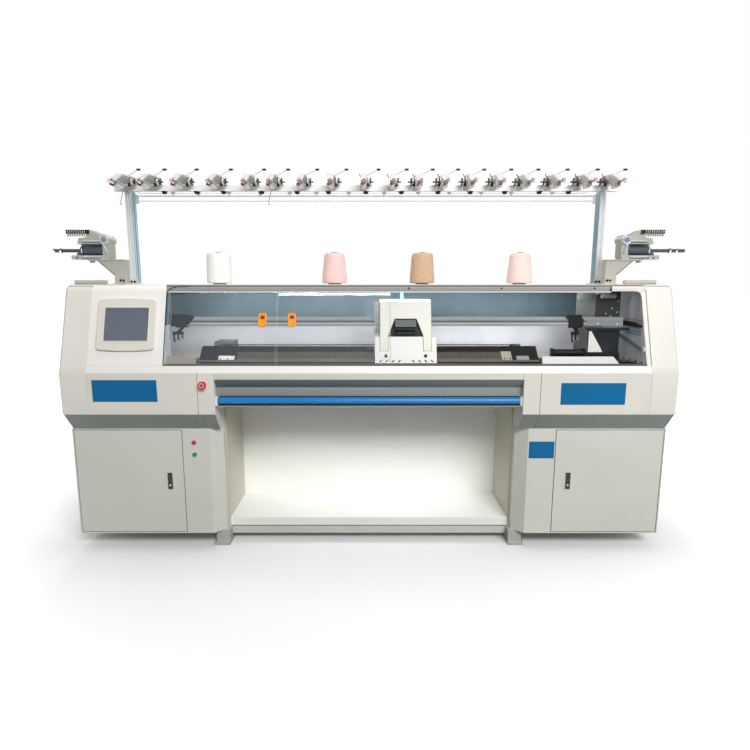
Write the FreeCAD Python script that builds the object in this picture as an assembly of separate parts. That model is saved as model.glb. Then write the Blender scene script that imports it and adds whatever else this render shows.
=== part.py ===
import FreeCAD, Part
import math
import os
from FreeCAD import Rotation, Vector

# Flat knitting machine, 52-inch class: two floor cabinets with a knee space between them, a casing
# with an open working window, a pair of needle beds under a sliding carriage, and a yarn stand.
#
# Millimetres. X runs along the needle beds, Y from the front to the back, Z up from the floor.
# Y is written here from the plane of the front panels. The finished pieces are moved forward by
# half of the depth, so the origin ends on the floor, in the middle of the machine.

# ---------------------------------------------------------------- fits and sheet
FIT = 0.3                 # gap between pieces that seat or slide on each other
SEAM = 2.0                # visible seam between two covers
SHEET = 3.0               # steel sheet of covers and cabinets

# ---------------------------------------------------------------- casing
CASE_HALF = 1406.0        # half of the casing's width
CAP_WIDTH = 123.0         # each rounded end cover
DEPTH = 880.0
FOOT_HEIGHT = 78.0
CABINET_HEIGHT = 527.0
CHAMFER_RISE = 85.0       # height of the sloping underside of the casing
PANEL_HEIGHT = 190.0      # upright band that holds the name plates
LEDGE_HEIGHT = 32.0       # bevelled band under the window
WINDOW_HEIGHT = 365.0     # from the ledge to the top of the deck
CABINET_SETBACK = 71.0    # cabinet front behind the front panels
LEDGE_SETBACK = 13.0
LEAN = 18.0               # degrees that the window leans back
KNEE_HALF = 703.0         # half of the knee space's width
CORNER_WIDTH = 77.0       # narrow cover beside the knee space
SCREEN_WIDTH = 345.0      # screen panel, inside the left end cover

CHAMFER_BOTTOM = FOOT_HEIGHT + CABINET_HEIGHT
PANEL_BOTTOM = CHAMFER_BOTTOM + CHAMFER_RISE
PANEL_TOP = PANEL_BOTTOM + PANEL_HEIGHT
LEDGE_TOP = PANEL_TOP + LEDGE_HEIGHT
DECK_TOP = LEDGE_TOP + WINDOW_HEIGHT
DECK_UNDER = DECK_TOP - SHEET
CAP_IN = CASE_HALF - CAP_WIDTH
SCREEN_IN = CAP_IN - SCREEN_WIDTH
LEAN_RATE = math.tan(math.radians(LEAN))
LEAN_TOP_Y = LEDGE_SETBACK + WINDOW_HEIGHT * LEAN_RATE
FRAME_FLANGE = 19.0       # flange of the window frame beside the right end cover
WALL_IN = CAP_IN - FRAME_FLANGE

# ---------------------------------------------------------------- cabinets and doors
INNER_CHAMFER_X = 53.0    # chamfer of the cabinet's corner at the knee space
INNER_CHAMFER_Y = 50.0
DOOR_STRIP = 183.0        # fixed strip between the door and the knee space
DOOR_EDGE = 6.0           # cabinet front left beside, above and below the door
DOOR_GAP = 3.0
DOOR_DEPTH = 20.0
DOOR_SHEET = 2.0
HINGE_INSET = 10.0        # hinge pin from the door's edge
HINGE_BACK = 10.0         # hinge pin behind the door's face
PIN_RADIUS = 3.0
LOCK_INSET = 66.0         # lock centre from the door's free edge
LOCK_Z = 345.0
LOCK_WIDTH = 30.0
LOCK_HEIGHT = 92.0

# ---------------------------------------------------------------- knee space
KNEE_DEPTH = 490.0
TRAY_TOP = 120.0
TRAY_FRONT = 160.0
TRAY_LIP = TRAY_TOP - FOOT_HEIGHT - FIT
KNEE_PANEL = 6.0          # thickness of the side panels
KNEE_PANEL_TOP = 722.0
BEAM_TOP_Z = 71.0
BEAM_BOTTOM_Z = 36.0
FOOT_WIDTH = 76.0
FOOT_LENGTH = 100.0
FRAME_THICK = 50.0        # cast side frames

# ---------------------------------------------------------------- apron and start bar
APRON_BAND = 28.0         # upright strip above the undercut
APRON_UNDERCUT = 30.0
APRON_SLOPE = 41.0
APRON_FACE = 41.0
BAR_RADIUS = 16.5
BAR_Y = 22.0
BAR_Z = 750.0
BAR_END_GAP = 11.0
JOURNAL_RADIUS = 8.0

# ---------------------------------------------------------------- window, covers and rail
COVER_THICK = 4.0
COVER_Y = 23.0            # foot of the outer cover
TRACK_PITCH = 18.0        # from the outer to the inner cover
COVER_BEND = 55.0         # radius of the curved top
COVER_BEND_Z = 1233.5
COVER_TAIL = 35.0
COVER_LEFT = -929.0       # left edge of the left cover
COVER_WIDTH_LEFT = 502.0
COVER_WIDTH_RIGHT = 526.0
RAIL_FRONT = 128.0
RAIL_DEPTH = 69.0
RAIL_HEIGHT = 35.0
ROOF_WIDTH = 159.0        # rounded roof piece right of the top rail
RAIL_END = CAP_IN - ROOF_WIDTH
HOUSING_BACK = 172.0
BACK_Y = 520.0            # inner back panels
BACK_SPLIT_Z = 1090.0

# ---------------------------------------------------------------- needle beds
BED_HALF = 620.0
BED_END = 173.0           # end block beyond each end of the beds
BED_Y = 155.0             # middle of the throat between the beds
BED_TOP = 988.0
BED_SLOPE = 43.0          # degrees
BED_WIDTH = 105.0         # along the slope
BED_THICK = 18.0
THROAT = 6.0
NEEDLE_PITCH = 33.0       # drawn coarse: the real spacing is about 2 mm
NEEDLE_WIDTH = 5.0        # the needle's blade
TRICK_WIDTH = 9.0         # groove that a needle lies in
TRICK_DEPTH = 4.0
CARRIER_BASE = 900.0
BED_BEAM_THICK = 20.0

# ---------------------------------------------------------------- carriage
CARRIAGE_X = 170.0        # middle of the carriage at rest
ARCH_HALF = 120.5
COVER_HALF = 142.0
CARRIAGE_TOP = 1206.0
CAM_HEIGHT = 20.0
ARCH_FOOT_Z = 973.0
ARCH_PLATE = 24.0
ARCH_REAR_Y = 252.0
FRONT_COVER_TOP = 1038.0
FRONT_COVER_FLANGE = 8.0

# ---------------------------------------------------------------- belt drive
BELT_X = 740.0            # pulley axes on both sides of the middle
BELT_Y = 296.0
BELT_Z = 945.0
BELT_WIDTH = 20.0
BELT_THICK = 3.0
PULLEY_RADIUS = 30.0
SHAFT_RADIUS = 8.0
BRACKET_THICK = 8.0

# ---------------------------------------------------------------- feeder rails
FEED_RAIL_LOW = 1080.0
FEED_RAIL_HIGH = 1122.0
FEED_RAIL_Y = 184.0
FEED_RAIL_THICK = 10.0
FEED_RAIL_PITCH = 22.0
FEED_RAIL_LEFT = 103.0 - CAP_IN   # both rails hang on plates and end short of the walls
FEED_RAIL_RIGHT = WALL_IN - 49.0
FEEDER_TIP = BED_TOP + 55.0       # parked feeders are lifted off the beds
FEEDER_WIDTH = 60.0
FEEDER_X = (-982.0, -904.0, 985.0)

# ---------------------------------------------------------------- yarn stand
STAND_SHIFT = -17.0       # the stand sits this far left of the casing's middle
POST_HALF = 1210.0        # from the stand's middle to each post
POST_Y = 485.0
POST_WIDTH = 30.0
POST_DEPTH = 60.0
STAND_RAIL_Z = 1762.0
STAND_RAIL_SIZE = 30.0
STAND_OVERHANG = 75.0     # the top rail runs past the posts
HEAD_X = (-1212.0, -1083.0, -924.0, -755.0, -591.0, -472.0, -328.0, -184.0, -25.0,
          114.0, 243.0, 368.0, 497.0, 631.0, 765.0, 909.0, 1058.0, 1195.0)
SIDE_UNIT_HALF = 1292.0   # from the stand's middle to each side yarn feeder
SIDE_UNIT_Y = 235.0
SIDE_UNIT_RISE = 117.0    # underside of its body above the deck
ARM_REACH = 1499.0        # the guide arms end level on both sides of the casing
CONE_Y = 745.0
CONE_X = (-857.0, -197.0, 304.0, 862.0)
CONE_HEIGHT = 175.0
CONE_RADIUS = 71.0
CONE_TOPS = (64.0, 54.5, 58.0, 54.5)

# ---------------------------------------------------------------- buttons
ESTOP_X = -752.0
ESTOP_Z = 829.0
ESTOP_RADIUS = 18.5
ESTOP_PROUD = 26.0
BUTTON_X = -830.0
STOP_Z = 537.0
START_Z = 478.0
BUTTON_RADIUS = 11.0
BUTTON_PROUD = 9.0
BUTTON_TRAVEL = 4.0

Y_MIDDLE = (DEPTH - ESTOP_PROUD) / 2

nodes = {}


# ================================================================ drawing helpers
def on_yz(x):
    return lambda u, v: Vector(x, u, v)


def on_xz(y):
    return lambda u, v: Vector(u, y, v)


def on_xy(z):
    return lambda u, v: Vector(u, v, z)


def profile(points, place, radii=None):
    """Face inside a closed outline. A corner with a radius becomes a tangent arc."""
    if radii is None:
        radii = [0.0] * len(points)
    corners = []
    for index, (point, radius) in enumerate(zip(points, radii)):
        corner = Vector(point[0], point[1], 0)
        if radius <= 0:
            corners.append((corner, None, corner))
            continue
        before = points[index - 1]
        after = points[(index + 1) % len(points)]
        to_before = (Vector(before[0], before[1], 0) - corner).normalize()
        to_after = (Vector(after[0], after[1], 0) - corner).normalize()
        half = to_before.getAngle(to_after) / 2
        reach = radius / math.tan(half)
        inward = (to_before + to_after).normalize()
        middle = corner + inward * (radius / math.sin(half) - radius)
        corners.append((corner + to_before * reach, middle, corner + to_after * reach))
    edges = []
    for index, (start, middle, stop) in enumerate(corners):
        if middle is not None:
            arc = Part.Arc(place(start.x, start.y), place(middle.x, middle.y), place(stop.x, stop.y))
            edges.append(arc.toShape())
        following = corners[(index + 1) % len(corners)][0]
        if stop.distanceToPoint(following) > 1e-6:
            edges.append(Part.makeLine(place(stop.x, stop.y), place(following.x, following.y)))
    return Part.Face(Part.Wire(edges))


def along_x(points, x0, x1, radii=None):
    return profile(points, on_yz(x0), radii).extrude(Vector(x1 - x0, 0, 0))


def along_y(points, y0, y1, radii=None):
    return profile(points, on_xz(y0), radii).extrude(Vector(0, y1 - y0, 0))


def along_z(points, z0, z1, radii=None):
    return profile(points, on_xy(z0), radii).extrude(Vector(0, 0, z1 - z0))


def block(x0, x1, y0, y1, z0, z1):
    return Part.makeBox(x1 - x0, y1 - y0, z1 - z0, Vector(x0, y0, z0))


def rod(start, end, radius):
    line = Vector(*end) - Vector(*start)
    return Part.makeCylinder(radius, line.Length, Vector(*start), line)


def faceted(start, end, radius, sides):
    """Round bar with few faces, for what repeats; no corner lies outside the radius."""
    axis = Vector(*end) - Vector(*start)
    turn = Rotation(Vector(0, 0, 1), axis)
    corners = []
    for index in range(sides):
        angle = 2 * math.pi * index / sides
        spoke = Vector(radius * math.cos(angle), radius * math.sin(angle), 0)
        corners.append(turn.multVec(spoke) + Vector(*start))
    return Part.Face(Part.makePolygon(corners + corners[:1])).extrude(axis)


def bore(start, end, radius, sides):
    """Tool for a faceted hole that nowhere comes closer to its axis than the radius."""
    return faceted(start, end, radius / math.cos(math.pi / sides), sides)


def cut(shape, *tools):
    for tool in tools:
        shape = shape.cut(tool)
    return shape


def join(*shapes):
    shape = shapes[0]
    for other in shapes[1:]:
        shape = shape.fuse(other)
    return shape.removeSplitter()


def flipped(shape):
    """The same piece on the other side of the machine."""
    return shape.mirror(Vector(0, 0, 0), Vector(1, 0, 0))


def pair(shape):
    return Part.Compound([flipped(shape), shape])


def moved(shape, x=0.0, y=0.0, z=0.0):
    copy = shape.copy()
    copy.translate(Vector(x, y, z))
    return copy


def left_normal(start, end):
    du = end[0] - start[0]
    dv = end[1] - start[1]
    length = math.hypot(du, dv)
    return -dv / length, du / length


def folded(path, wall):
    """Outline of a folded sheet: its outer path, then the path one wall to the left of it."""
    inner = []
    last = len(path) - 1
    for index, (u, v) in enumerate(path):
        first = max(index, 1)
        second = min(index, last - 1)
        a = left_normal(path[first - 1], path[first])
        b = left_normal(path[second], path[second + 1])
        scale = wall / (1 + a[0] * b[0] + a[1] * b[1])
        inner.append((u + (a[0] + b[0]) * scale, v + (a[1] + b[1]) * scale))
    return list(path) + inner[::-1]


def lean_y(z, foot):
    """Depth at height z of a plane that leans as the window does and starts at foot."""
    return foot + (z - LEDGE_TOP) * LEAN_RATE


def leaned(shape, x, z, foot):
    """A flat piece drawn on the XY plane, facing +Z, stood up against the leaning plane."""
    copy = shape.copy()
    copy.rotate(Vector(0, 0, 0), Vector(1, 0, 0), 90 - LEAN)
    copy.translate(Vector(x, lean_y(z, foot), z))
    return copy


# ================================================================ feet, frames and beams
frame_in = KNEE_HALF + SHEET + FIT
frame_out = frame_in + FRAME_THICK
foot_x = (frame_in + frame_out) / 2 - 4
FOOT_YS = (TRAY_FRONT - 60.0, DEPTH - 160.0)


def foot(y):
    pad = block(foot_x - FOOT_WIDTH / 2, foot_x + FOOT_WIDTH / 2, y, y + FOOT_LENGTH, 0, 14)
    inner = foot_x - FOOT_WIDTH / 2
    column = block(inner, foot_x + 28, y + 6, y + FOOT_LENGTH - 6, 14, FOOT_HEIGHT)
    return join(pad, column)


feet = [foot(y) for y in FOOT_YS]
nodes["feet"] = Part.Compound(feet + [flipped(shape) for shape in feet])

beam_half = foot_x - FOOT_WIDTH / 2
beam_outline = [(-17, BEAM_BOTTOM_Z), (17, BEAM_BOTTOM_Z), (17, BEAM_TOP_Z), (-17, BEAM_TOP_Z)]


def cross_beam(y):
    points = [(y + u, v) for u, v in beam_outline]
    return along_x(points, -beam_half, beam_half)


beams = [cross_beam(TRAY_FRONT + 17), cross_beam(FOOT_YS[1] + 50)]

frame_front = 140.0
frame_back = DEPTH - 40.0
CAST_RIM = 70.0           # iron left round the windows of a side frame
CAST_FOOT = 82.0
CAST_HEAD = 90.0
CAST_POST = 40.0          # upright between the windows
CAST_RAIL = 70.0          # cross rib between the lower and the upper windows
CAST_RAIL_Z = 465.0
side_frame = block(frame_in, frame_out, frame_front, frame_back, FOOT_HEIGHT, PANEL_TOP)
CAST_CORNER = 60.0


def cast_window(y0, y1, z0, z1):
    """Window with bevelled corners, cut through a side frame."""
    c = CAST_CORNER
    points = [(y0 + c, z0), (y1 - c, z0), (y1, z0 + c), (y1, z1 - c), (y1 - c, z1), (y0 + c, z1),
              (y0, z1 - c), (y0, z0 + c)]
    return along_x(points, frame_in - 1, frame_out + 1)


cast_middle = (frame_front + frame_back) / 2
cast_columns = ((frame_front + CAST_RIM, cast_middle - CAST_POST / 2),
                (cast_middle + CAST_POST / 2, frame_back - CAST_RIM))
cast_rows = ((FOOT_HEIGHT + CAST_FOOT, CAST_RAIL_Z - CAST_RAIL / 2),
             (CAST_RAIL_Z + CAST_RAIL / 2, PANEL_TOP - CAST_HEAD))
for y0, y1 in cast_columns:
    for z0, z1 in cast_rows:
        side_frame = side_frame.cut(cast_window(y0, y1, z0, z1))
nodes["base_frame"] = Part.Compound(beams + [side_frame, flipped(side_frame)])

# ================================================================ cabinets
door_in = KNEE_HALF + DOOR_STRIP + DOOR_GAP
door_out = CASE_HALF - DOOR_EDGE - DOOR_GAP
door_low = FOOT_HEIGHT + DOOR_EDGE + DOOR_GAP
door_high = CHAMFER_BOTTOM - DOOR_EDGE - DOOR_GAP
partition_x = frame_out + 12.0


hinge_x = door_out - HINGE_INSET
hinge_y = CABINET_SETBACK + HINGE_BACK


def hinge(z_root, z_tip):
    """Tab welded inside the cabinet's front, with the pin that the door turns on."""
    ends = (z_root, z_root + math.copysign(DOOR_EDGE, z_root - z_tip))
    tab = block(hinge_x - 6, CASE_HALF - SHEET, CABINET_SETBACK + SHEET, hinge_y + 8, min(ends), max(ends))
    return join(tab, faceted((hinge_x, hinge_y, z_root), (hinge_x, hinge_y, z_tip), PIN_RADIUS, 12))


def cabinet():
    path = [(KNEE_HALF, DEPTH - SHEET), (KNEE_HALF, CABINET_SETBACK + INNER_CHAMFER_Y),
            (KNEE_HALF + INNER_CHAMFER_X, CABINET_SETBACK), (CASE_HALF, CABINET_SETBACK),
            (CASE_HALF, DEPTH - SHEET)]
    skin = along_z(folded(path, SHEET), FOOT_HEIGHT, CHAMFER_BOTTOM)
    back = block(KNEE_HALF, CASE_HALF, DEPTH - SHEET, DEPTH, FOOT_HEIGHT, CHAMFER_BOTTOM)
    side = (partition_x, CASE_HALF - SHEET, CABINET_SETBACK + SHEET, DEPTH - SHEET)
    floor = block(*side, FOOT_HEIGHT, FOOT_HEIGHT + SHEET)
    roof = block(*side, CHAMFER_BOTTOM - SHEET, CHAMFER_BOTTOM)
    wall = block(partition_x, partition_x + SHEET, side[2], side[3], FOOT_HEIGHT, CHAMFER_BOTTOM)
    doorway = block(door_in - DOOR_GAP, door_out + DOOR_GAP, CABINET_SETBACK - 1,
                    CABINET_SETBACK + SHEET + 1, door_low - DOOR_GAP, door_high + DOOR_GAP)
    hinges = [hinge(door_high + DOOR_GAP, door_high - 12.0), hinge(door_low - DOOR_GAP, door_low + 12.0)]
    return join(join(skin, back, floor, roof, wall).cut(doorway), *hinges)


right_cabinet = cabinet()
left_cabinet = flipped(right_cabinet)
for z in (STOP_Z, START_Z):
    hole = bore((BUTTON_X, CABINET_SETBACK - 1, z), (BUTTON_X, CABINET_SETBACK + SHEET + 1, z), 8.0, 12)
    left_cabinet = left_cabinet.cut(hole)
nodes["cabinets"] = Part.Compound([left_cabinet, right_cabinet])

lock_x = door_in + LOCK_INSET
lock_back = CABINET_SETBACK + 14.0


def door():
    pan = block(door_in, door_out, CABINET_SETBACK, CABINET_SETBACK + DOOR_DEPTH, door_low, door_high)
    hollow = block(door_in + DOOR_SHEET, door_out - DOOR_SHEET, CABINET_SETBACK + DOOR_SHEET,
                   CABINET_SETBACK + DOOR_DEPTH + 1, door_low + DOOR_SHEET, door_high - DOOR_SHEET)
    pin_hole = bore((hinge_x, hinge_y, door_low - 1), (hinge_x, hinge_y, door_high + 1),
                    PIN_RADIUS + FIT, 12)
    lock_hole = block(lock_x - LOCK_WIDTH / 2, lock_x + LOCK_WIDTH / 2, CABINET_SETBACK - 1,
                      CABINET_SETBACK + DOOR_SHEET + 1, LOCK_Z - LOCK_HEIGHT / 2,
                      LOCK_Z + LOCK_HEIGHT / 2)
    return cut(pan, hollow, pin_hole, lock_hole)


right_door = door()


handle_half = LOCK_WIDTH / 2 - 4.0
handle_top = LOCK_Z + LOCK_HEIGHT / 2 - 8.0
handle_low = LOCK_Z - LOCK_HEIGHT / 2 + 6.0
handle_pivot_y = CABINET_SETBACK + 3.0
handle_pivot_z = handle_top - 3.0
HANDLE_PIN = 1.5
handle_pin_half = handle_half + 2.5
handle_axis = [(lock_x + side * handle_pin_half, handle_pivot_y, handle_pivot_z) for side in (-1, 1)]


def lock_housing():
    flange = block(lock_x - LOCK_WIDTH / 2 - 3, lock_x + LOCK_WIDTH / 2 + 3, CABINET_SETBACK - 2,
                   CABINET_SETBACK, LOCK_Z - LOCK_HEIGHT / 2 - 3, LOCK_Z + LOCK_HEIGHT / 2 + 3)
    tub = block(lock_x - LOCK_WIDTH / 2 + FIT, lock_x + LOCK_WIDTH / 2 - FIT, CABINET_SETBACK,
                lock_back, LOCK_Z - LOCK_HEIGHT / 2 + FIT, LOCK_Z + LOCK_HEIGHT / 2 - FIT)
    room = block(lock_x - handle_half - 1, lock_x + handle_half + 1, CABINET_SETBACK - 3, lock_back - 2,
                 handle_low - 2, handle_top + 4)
    return cut(join(flange, tub), room, bore(handle_axis[0], handle_axis[1], HANDLE_PIN + FIT, 8))


def lock_handle():
    paddle = block(lock_x - handle_half, lock_x + handle_half, CABINET_SETBACK - 1, CABINET_SETBACK + 5,
                   handle_low, handle_top)
    key_z = handle_low + 20
    key = faceted((lock_x, CABINET_SETBACK - 3, key_z), (lock_x, CABINET_SETBACK, key_z), 7.0, 12)
    return join(paddle, key, faceted(handle_axis[0], handle_axis[1], HANDLE_PIN, 8))


right_housing = lock_housing()
right_handle = lock_handle()
door_set = Part.Compound([right_door, right_housing])
nodes["right_door"] = door_set
nodes["left_door"] = flipped(door_set)
nodes["lock_handle_right"] = right_handle
nodes["lock_handle_left"] = flipped(right_handle)

# ================================================================ knee space
panel_in = KNEE_HALF - KNEE_PANEL
knee_panel = block(panel_in, KNEE_HALF - FIT, TRAY_FRONT, KNEE_DEPTH - FIT, FOOT_HEIGHT, KNEE_PANEL_TOP)
knee_back = block(FIT - KNEE_HALF, KNEE_HALF - FIT, KNEE_DEPTH, KNEE_DEPTH + SHEET,
                  FOOT_HEIGHT, PANEL_TOP)
nodes["knee_walls"] = Part.Compound([knee_panel, flipped(knee_panel), knee_back])
tray_path = [(KNEE_DEPTH - FIT, TRAY_TOP), (TRAY_FRONT, TRAY_TOP), (TRAY_FRONT, TRAY_TOP - TRAY_LIP),
             (TRAY_FRONT + 25, TRAY_TOP - TRAY_LIP)]
nodes["fabric_tray"] = along_x(folded(tray_path, SHEET), FIT - panel_in, panel_in - FIT)

# ================================================================ apron and start bar
band_low = PANEL_TOP - APRON_BAND
slope_low = band_low - APRON_SLOPE
face_low = slope_low - APRON_FACE
recess_y = APRON_UNDERCUT + 12.0
lip_top = BAR_Z - BAR_RADIUS - 5.5
apron_path = [(40.0, PANEL_TOP), (0.0, PANEL_TOP), (0.0, band_low), (APRON_UNDERCUT, slope_low),
              (APRON_UNDERCUT, face_low), (recess_y, face_low), (recess_y, lip_top),
              (10.0, lip_top), (10.0, lip_top - 6.0)]
nodes["apron"] = along_x(folded(apron_path, SHEET), FIT - KNEE_HALF, KNEE_HALF - FIT)

bar_half = KNEE_HALF - BAR_END_GAP
bar = join(rod((-bar_half, BAR_Y, BAR_Z), (bar_half, BAR_Y, BAR_Z), BAR_RADIUS),
           faceted((4 - KNEE_HALF, BAR_Y, BAR_Z), (KNEE_HALF - 4, BAR_Y, BAR_Z), JOURNAL_RADIUS, 16))
nodes["start_bar"] = bar
bearing = cut(block(bar_half + FIT, KNEE_HALF, 8.0, recess_y - FIT, lip_top + FIT, face_low - FIT),
              bore((bar_half - 1, BAR_Y, BAR_Z), (KNEE_HALF - 2, BAR_Y, BAR_Z), JOURNAL_RADIUS + FIT, 16))

# ================================================================ lower casing covers
wing_path = [(40.0, PANEL_TOP), (0.0, PANEL_TOP), (0.0, PANEL_BOTTOM), (CABINET_SETBACK, CHAMFER_BOTTOM),
             (CABINET_SETBACK + 40, CHAMFER_BOTTOM)]
corner_out = KNEE_HALF + CORNER_WIDTH - SEAM / 2
wing_in = KNEE_HALF + CORNER_WIDTH + SEAM / 2
wing = along_x(folded(wing_path, SHEET), wing_in, CAP_IN - FIT)
corner_side = [(0.0, PANEL_TOP), (0.0, PANEL_BOTTOM), (CABINET_SETBACK, CHAMFER_BOTTOM),
               (KNEE_DEPTH, CHAMFER_BOTTOM), (KNEE_DEPTH, PANEL_TOP)]
ROLLER_Y = 140.0
ROLLER_DROP = 100.0       # take-down roller below the bed carrier's underside
ROLLER_Z = CARRIER_BASE - ROLLER_DROP
ROLLER_RADIUS = 25.0
ROLLER_SHAFT = 10.0
ROLLER_END_GAP = 63.0     # from the roller's end to the corner cover
bearing_in = KNEE_HALF - 21.0
roller_bearing = block(bearing_in, KNEE_HALF, ROLLER_Y - 22, ROLLER_Y + 22, ROLLER_Z - 22, ROLLER_Z + 22)
roller_bore = bore((bearing_in - 2, ROLLER_Y, ROLLER_Z), (KNEE_HALF - 1, ROLLER_Y, ROLLER_Z),
                   ROLLER_SHAFT + FIT, 16)
corner = join(along_x(folded(wing_path, SHEET), KNEE_HALF, corner_out),
              along_x(corner_side, KNEE_HALF, KNEE_HALF + SHEET), bearing, roller_bearing.cut(roller_bore))
estop_hole = bore((ESTOP_X, -1, ESTOP_Z), (ESTOP_X, SHEET + 1, ESTOP_Z), 11.5, 16)
left_corner = flipped(corner).cut(estop_hole)
nodes["lower_covers"] = Part.Compound([wing, flipped(wing), corner, left_corner])

CAP_WALL = 8.0
CAP_BEVEL = 9.0
cap_points = [(CABINET_SETBACK, CHAMFER_BOTTOM), (0.0, PANEL_BOTTOM), (0.0, PANEL_TOP),
              (LEDGE_SETBACK, LEDGE_TOP), (LEAN_TOP_Y, DECK_TOP), (DEPTH, DECK_TOP),
              (DEPTH, CHAMFER_BOTTOM)]
cap_radii = [0.0, 0.0, 0.0, 0.0, 45.0, 30.0, 0.0]


def end_cover():
    solid = along_x(cap_points, CAP_IN, CASE_HALF, cap_radii)
    rim = [edge for edge in solid.Edges if edge.BoundBox.XMin > CASE_HALF - 0.01
           and edge.BoundBox.ZMax > CHAMFER_BOTTOM + 0.01]
    solid = solid.makeChamfer(CAP_BEVEL, rim)
    inner = folded(cap_points[::-1], CAP_WALL)[len(cap_points):]
    return solid.cut(along_x(inner, CAP_IN - 1, CASE_HALF - CAP_WALL))


right_cap = end_cover()
nodes["end_covers"] = pair(right_cap)

ledge_back = 66.0
ledge_path = [(ledge_back, PANEL_TOP), (ledge_back, LEDGE_TOP), (LEDGE_SETBACK, LEDGE_TOP),
              (0.0, PANEL_TOP)]
ledge = along_x(folded(ledge_path, SHEET), FIT - CAP_IN, CAP_IN - FIT)
nodes["front_ledge"] = ledge.cut(block(-CASE_HALF, CASE_HALF, -1, ledge_back, PANEL_BOTTOM, PANEL_TOP))

# ================================================================ screen panel
HOUSING_LOW_BACK = 138.0  # lower down the housing is shallow: yarn feeders park behind it
HOUSING_STEP = (1070.0, 1110.0)


def housing_back(extra, low, high):
    return [(HOUSING_BACK + extra, high), (HOUSING_BACK + extra, HOUSING_STEP[1]),
            (HOUSING_LOW_BACK + extra, HOUSING_STEP[0]), (HOUSING_LOW_BACK + extra, low)]


screen_points = [(LEDGE_SETBACK, LEDGE_TOP), (LEAN_TOP_Y, DECK_TOP)] + housing_back(0, LEDGE_TOP, DECK_TOP)
screen_inner = ([(LEDGE_SETBACK + 2 * SHEET, LEDGE_TOP + SHEET), (LEAN_TOP_Y + SHEET, DECK_TOP - 2 * SHEET)]
                + housing_back(1, LEDGE_TOP + SHEET, DECK_TOP - 2 * SHEET))
housing_radii = [0.0, 45.0, 0.0, 0.0, 0.0, 0.0]
screen_solid = along_x(screen_points, FIT - CAP_IN, -SCREEN_IN, housing_radii)
screen_hollow = along_x(screen_inner, FIT - CAP_IN + SHEET, -SCREEN_IN - SHEET, housing_radii)
nodes["screen_housing"] = screen_solid.cut(screen_hollow)

BEZEL_WIDTH = 266.0
BEZEL_SIDE = 234.0
BEZEL_ARCH = 8.0
BEZEL_THICK = 12.0
DISPLAY_WIDTH = 199.0
DISPLAY_HEIGHT = 152.0
BEZEL_X = -1109.0
BEZEL_Z = 1094.0


def bezel():
    w = BEZEL_WIDTH / 2
    h = BEZEL_SIDE / 2
    low = Part.Arc(Vector(-w, -h, 0), Vector(0, -h - BEZEL_ARCH, 0), Vector(w, -h, 0)).toShape()
    side = Part.makeLine(Vector(w, -h, 0), Vector(w, h, 0))
    top = Part.Arc(Vector(w, h, 0), Vector(0, h + BEZEL_ARCH, 0), Vector(-w, h, 0)).toShape()
    other = Part.makeLine(Vector(-w, h, 0), Vector(-w, -h, 0))
    plate = Part.Face(Part.Wire([low, side, top, other])).extrude(Vector(0, 0, BEZEL_THICK))
    upright = [edge for edge in plate.Edges if edge.BoundBox.ZLength > BEZEL_THICK - 0.01]
    plate = plate.makeFillet(16.0, upright)
    opening = block(-DISPLAY_WIDTH / 2, DISPLAY_WIDTH / 2, -DISPLAY_HEIGHT / 2, DISPLAY_HEIGHT / 2,
                    -1, BEZEL_THICK + 1)
    return plate.cut(opening)


display = block(FIT - DISPLAY_WIDTH / 2, DISPLAY_WIDTH / 2 - FIT, FIT - DISPLAY_HEIGHT / 2,
                DISPLAY_HEIGHT / 2 - FIT, 0, BEZEL_THICK - 4)
nodes["screen_bezel"] = leaned(bezel(), BEZEL_X, BEZEL_Z, LEDGE_SETBACK)
nodes["display"] = leaned(display, BEZEL_X, BEZEL_Z, LEDGE_SETBACK)

PLATE_THICK = 1.5
NAME_PLATE = (294.0, 100.0)
NAME_PLACES = ((-1110.0, 800.0), (1019.0, 786.5))
DATA_PLATE = (120.0, 82.0)
DATA_X = 821.0
DATA_Z = 500.0


def plate(x, z, face_y, size):
    return block(x - size[0] / 2, x + size[0] / 2, face_y - PLATE_THICK, face_y, z - size[1] / 2,
                 z + size[1] / 2)


nodes["name_plates"] = Part.Compound([plate(x, z, 0.0, NAME_PLATE) for x, z in NAME_PLACES]
                                     + [plate(DATA_X, DATA_Z, CABINET_SETBACK, DATA_PLATE)])

# ================================================================ deck, rails and window
deck = block(-CAP_IN + FIT, CAP_IN - FIT, RAIL_FRONT, DEPTH, DECK_UNDER, DECK_TOP)
deck_notch = block(-CAP_IN - 1, FIT - SCREEN_IN, RAIL_FRONT - 1, HOUSING_BACK + FIT,
                   DECK_UNDER - 1, DECK_TOP + 1)
nodes["deck"] = deck.cut(deck_notch)

rail_back = RAIL_FRONT + RAIL_DEPTH
rail_low = DECK_UNDER - RAIL_HEIGHT
rail_path = [(rail_back, rail_low), (rail_back, DECK_UNDER), (RAIL_FRONT, DECK_UNDER),
             (RAIL_FRONT, rail_low)]
top_rail = along_x(folded(rail_path, SHEET), FIT - SCREEN_IN, RAIL_END)
slant = along_y([(RAIL_END - 14, rail_low - 1), (RAIL_END + 1, rail_low - 1), (RAIL_END + 1, DECK_UNDER)],
                RAIL_FRONT - 1, rail_back + 1)
top_rail = top_rail.cut(slant)
roof_points = [(RAIL_FRONT, rail_low + 6), (RAIL_FRONT, DECK_UNDER), (rail_back + 13, DECK_UNDER),
               (rail_back + 13, rail_low + 6)]
right_roof = along_x(roof_points, RAIL_END + 3, CAP_IN - FIT, [0.0, 18.0, 0.0, 0.0])

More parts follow.
